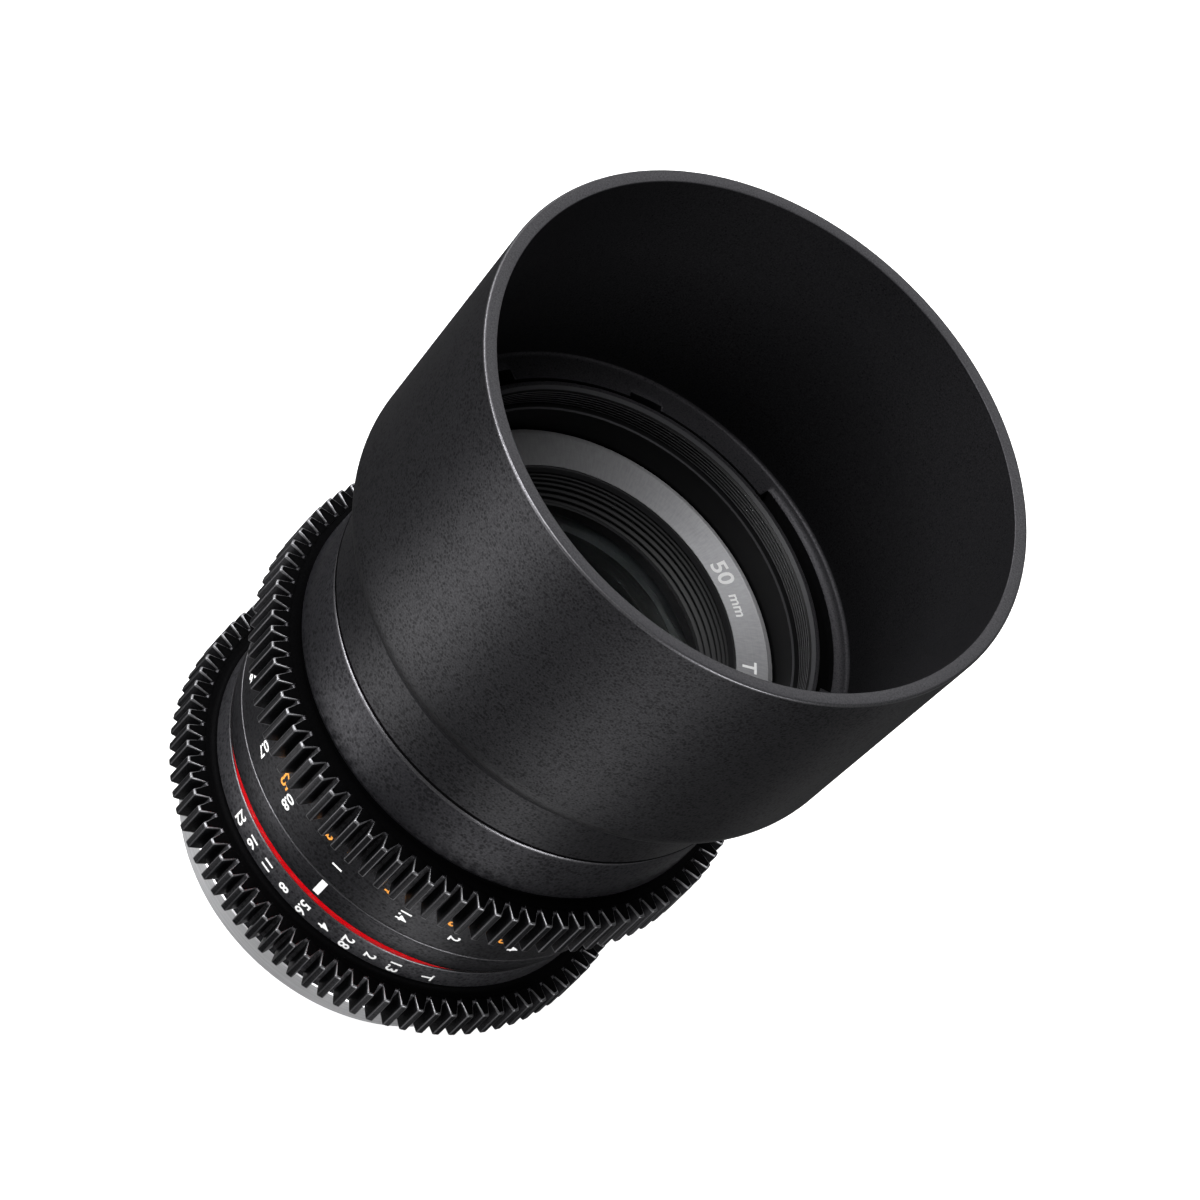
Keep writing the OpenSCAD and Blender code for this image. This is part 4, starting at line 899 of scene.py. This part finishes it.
def joinMeshes(name, meshes, material):
    bm = bmesh.new()
    for mesh in meshes:
        bm.from_mesh(mesh)
    joined = bpy.data.meshes.new(name)
    bm.to_mesh(joined)
    bm.free()
    joined.materials.append(material)
    made = bpy.data.objects.new(name, joined)
    scene.collection.objects.link(made)
    return made


# Reads along the axis, wrapped on a ring
def wrapLabel(text, angle, scale, radiusAt):
    start = scale["start"] if len(text) > 1 else scale["single"]
    mesh = textMesh(text, scale["size"], scale["stretch"])
    for vert in mesh.vertices:
        z = start - vert.co.x / mm
        r = radiusAt(z) + lettering["lift"]
        turn = math.radians(angle) + (vert.co.y / mm - lettering["middle"] * scale["size"]) / r
        vert.co = (r * math.cos(turn) * mm, r * math.sin(turn) * mm, z * mm)
    return mesh


def printScale(name, scale, radiusAt, material, body):
    labels = [wrapLabel(text, angle, scale, radiusAt) for text, angle in scale["labels"]]
    place(joinMeshes(name, labels, material), body, "black_anodised")


def irisRadius(z):
    return iris["band"]


def focusRadius(z):
    share = (z - focus["low"]) / (focus["gearLow"] - focus["low"])
    return focus["scaleRear"] + (focus["scaleFront"] - focus["scaleRear"]) * share


irisScale = {
    "size": 2.35, "stretch": 0.94, "start": 19.0, "single": 18.25, "labels": (
        ("22", 241.7), ("16", 248.9), ("11", 256.0), ("8", 263.2), ("5.6", 270.3), ("4", 277.5),
        ("2.8", 284.6), ("2", 291.8), ("1.3", 298.8), ("T", 308.6),
    ),
}
metreScale = {
    "size": 2.3, "stretch": 0.92, "start": 32.2, "single": 31.2, "labels": (
        ("0.5", 182.0), ("0.6", 214.4), ("0.7", 234.9), ("0.8", 249.7), ("1", 269.4), ("1.4", 289.4),
        ("2", 303.5), ("4", 319.6), ("∞", 335.4),
    ),
}
footScale = {
    "size": 2.5, "stretch": 0.92, "start": 34.4, "single": 34.4, "labels": (
        ("2", 229.4), ("2.5", 245.8), ("3", 262.4), ("4", 282.9), ("6", 300.6), ("10", 315.2), ("30", 328.5),
    ),
}
printScale("irisNumbers", irisScale, irisRadius, whitePrint, "iris_ring")
printScale("metreNumbers", metreScale, focusRadius, whitePrint, "focus_ring")
printScale("footNumbers", footScale, focusRadius, orangePrint, "focus_ring")

# White index bar on the taper
bar = {"angle": 269.8, "half": 0.52, "low": 22.5, "high": 26.6, "rows": 6}
taper = (index["front"] - index["rear"]) / (index["high"] - index["edge"] - index["low"])
barVerts = []
for step in range(bar["rows"] + 1):
    z = bar["low"] + (bar["high"] - bar["low"]) * step / bar["rows"]
    r = index["rear"] + taper * (z - index["low"]) + lettering["lift"]
    for side in (-1, 0, 1):
        a = math.radians(bar["angle"]) + side * bar["half"] / r
        barVerts.append((r * math.cos(a) * mm, r * math.sin(a) * mm, z * mm))
barFaces = [(i, i + 1, i + 4, i + 3) for row in range(bar["rows"]) for i in (row * 3, row * 3 + 1)]
indexBar = plainObject("indexBar", barVerts, [], barFaces)
indexBar.data.materials.append(whitePrint)
place(indexBar, "barrel", "black_anodised")


# Reads round the axis, laid on the name ring's slope
def ringLabel(text, size, angle, radius):
    slope = (nameRing["edgeZ"] - nameRing["boreZ"]) / (nameRing["edge"] - nameRing["bore"])
    mesh = textMesh(text, size, 1.0)
    for vert in mesh.vertices:
        r = radius + vert.co.y / mm
        z = nameRing["boreZ"] + slope * (r - nameRing["bore"]) + lettering["ringLift"]
        turn = math.radians(angle) - vert.co.x / mm / radius
        vert.co = (r * math.cos(turn) * mm, r * math.sin(turn) * mm, z * mm)
    return mesh


namePrint = [
    ringLabel("50", size=3.5, angle=72.3, radius=24.3),
    ringLabel("mm", size=2.3, angle=60.6, radius=24.6),
    ringLabel("T 1.3", size=2.9, angle=36.5, radius=24.3),
]
place(joinMeshes("nameNumbers", namePrint, whitePrint), "focus_unit", "satin_grey")
print("stage: numbers made")

# White floor. Reflections see it dark, with three painted glows round the lens that stand in for lit cards,
# and painted shade on it near the lens
studio = {
    "floorZ": -5.02, "floorHalf": 6000.0, "floorRough": 0.9, "floorTone": 0.75, "mirrorTone": 0.02,
    "cameraGlow": 0.75, "paintedMirrorGlow": 0.04, "lensShade": 0.1, "world": 0.15, "worldCamera": 0.85,
    "worldMirror": -0.12,
}
paintedFloorReflections = (
    {"turn": -126, "half": 27, "glow": 2.1, "start": 36.0, "full": 95.0},
    {"turn": -56, "half": 27, "glow": 1.1, "start": 34.0, "full": 55.0},
    {"turn": 24, "half": 18, "glow": 0.12, "start": 34.0, "full": 55.0},
)
floorMaterial, floorTree, floorShader = newMaterial("floorWhite")
floorShader.inputs["Roughness"].default_value = studio["floorRough"]
floorShader.inputs["Specular IOR Level"].default_value = 0.0
floorShader.inputs["Emission Color"].default_value = (1, 1, 1, 1)
floorParts = objectParts(floorTree)
floorAngle = calc(floorTree, "ARCTAN2", floorParts[1], floorParts[0])
floorReach = axisReach(floorTree, floorParts)
paintedMirrorGlow = studio["paintedMirrorGlow"]
# Each glow is a painted reflection of a lit card, dimmed near the lens by painted shade
for spot in paintedFloorReflections:
    off = calc(floorTree, "ABSOLUTE", calc(floorTree, "SUBTRACT", floorAngle, math.radians(spot["turn"])))
    lobe = mapRange(floorTree, off, 0.0, math.radians(spot["half"]), 1.0, 0.0)
    clear = mapRange(floorTree, floorReach, spot["start"] * mm, spot["full"] * mm, studio["lensShade"])
    lit = calc(floorTree, "MULTIPLY", calc(floorTree, "MULTIPLY", lobe, spot["glow"]), clear)
    paintedMirrorGlow = calc(floorTree, "ADD", paintedMirrorGlow, lit)
floorPath = addNode(floorTree, "ShaderNodeLightPath").outputs
# Reflections see the floor in a painted dark tone
floorTone = mixColor(
    floorTree, floorPath["Is Glossy Ray"], (*[studio["floorTone"]] * 3, 1), (*[studio["mirrorTone"]] * 3, 1),
)
floorGlow = scaledSum(
    floorTree, floorPath["Is Camera Ray"], studio["cameraGlow"], floorPath["Is Glossy Ray"], paintedMirrorGlow,
)
floorTree.links.new(floorTone, floorShader.inputs["Base Color"])
floorTree.links.new(floorGlow, floorShader.inputs["Emission Strength"])
floorCorners = [
    (x * studio["floorHalf"] * mm, y * studio["floorHalf"] * mm, studio["floorZ"] * mm)
    for x, y in ((-1, -1), (1, -1), (1, 1), (-1, 1))
]
floor = plainObject("floor", floorCorners, [], [(0, 1, 2, 3)])
floor.data.materials.append(floorMaterial)

# White to the camera, painted dim for reflections in the lens
world = bpy.data.worlds.new("studio")
scene.world = world
world.use_nodes = True
worldTree = world.node_tree
worldTree.nodes.clear()
worldPath = addNode(worldTree, "ShaderNodeLightPath").outputs
worldSeen = scaledSum(
    worldTree, worldPath["Is Camera Ray"], studio["worldCamera"], worldPath["Is Glossy Ray"],
    studio["worldMirror"],
)
worldLevel = calc(worldTree, "ADD", worldSeen, studio["world"])
worldShade = addNode(worldTree, "ShaderNodeBackground", {"Color": (1, 1, 1, 1), "Strength": worldLevel})
addNode(worldTree, "ShaderNodeOutputWorld", {"Surface": worldShade.outputs[0]})


def softLight(name, spot, target, size, power):
    data = bpy.data.lights.new(name, "AREA")
    data.shape = "RECTANGLE"
    data.size, data.size_y = size
    data.energy = power
    made = bpy.data.objects.new(name, data)
    made.location = spot
    made.rotation_mode = "QUATERNION"
    made.rotation_quaternion = (Vector(target) - Vector(spot)).to_track_quat("-Z", "Y")
    scene.collection.objects.link(made)


softLight("topBack", spot=(-0.25, 0.85, 0.95), target=(0, 0, 0.06), size=(1.4, 0.9), power=8)
softLight("leftTop", spot=(-0.42, -0.2, 1.15), target=(0, 0, 0.06), size=(0.35, 0.35), power=10)
softLight("leftBox", spot=(-1.0, -0.05, 0.55), target=(0, 0, 0.05), size=(1.3, 0.35), power=13)
softLight("leftFront", spot=(-0.75, -0.65, 0.55), target=(0, 0, 0.05), size=(0.5, 0.5), power=9)
softLight("rightFront", spot=(0.75, -0.65, 0.5), target=(0, 0, 0.05), size=(0.5, 0.4), power=8)

# Camera above the front, rolled so that the lens lies across the picture
view = {
    "spot": (0.0001, -0.6053, 0.6959), "tilt": 44.019, "roll": 44.022, "lens": 197.2, "sensor": 36,
    "clip": (0.05, 20),
}
camera = bpy.data.cameras.new("photoCamera")
camera.lens = view["lens"]
camera.sensor_width = view["sensor"]
camera.clip_start, camera.clip_end = view["clip"]
cameraObject = bpy.data.objects.new("photoCamera", camera)
cameraTilt = Matrix.Rotation(math.radians(view["tilt"]), 4, "X")
cameraRoll = Matrix.Rotation(math.radians(view["roll"]), 4, "Z")
cameraObject.matrix_world = Matrix.Translation(view["spot"]) @ cameraTilt @ cameraRoll
scene.collection.objects.link(cameraObject)
scene.camera = cameraObject
scene.view_settings.view_transform = "Standard"
print("stage: camera and light set")
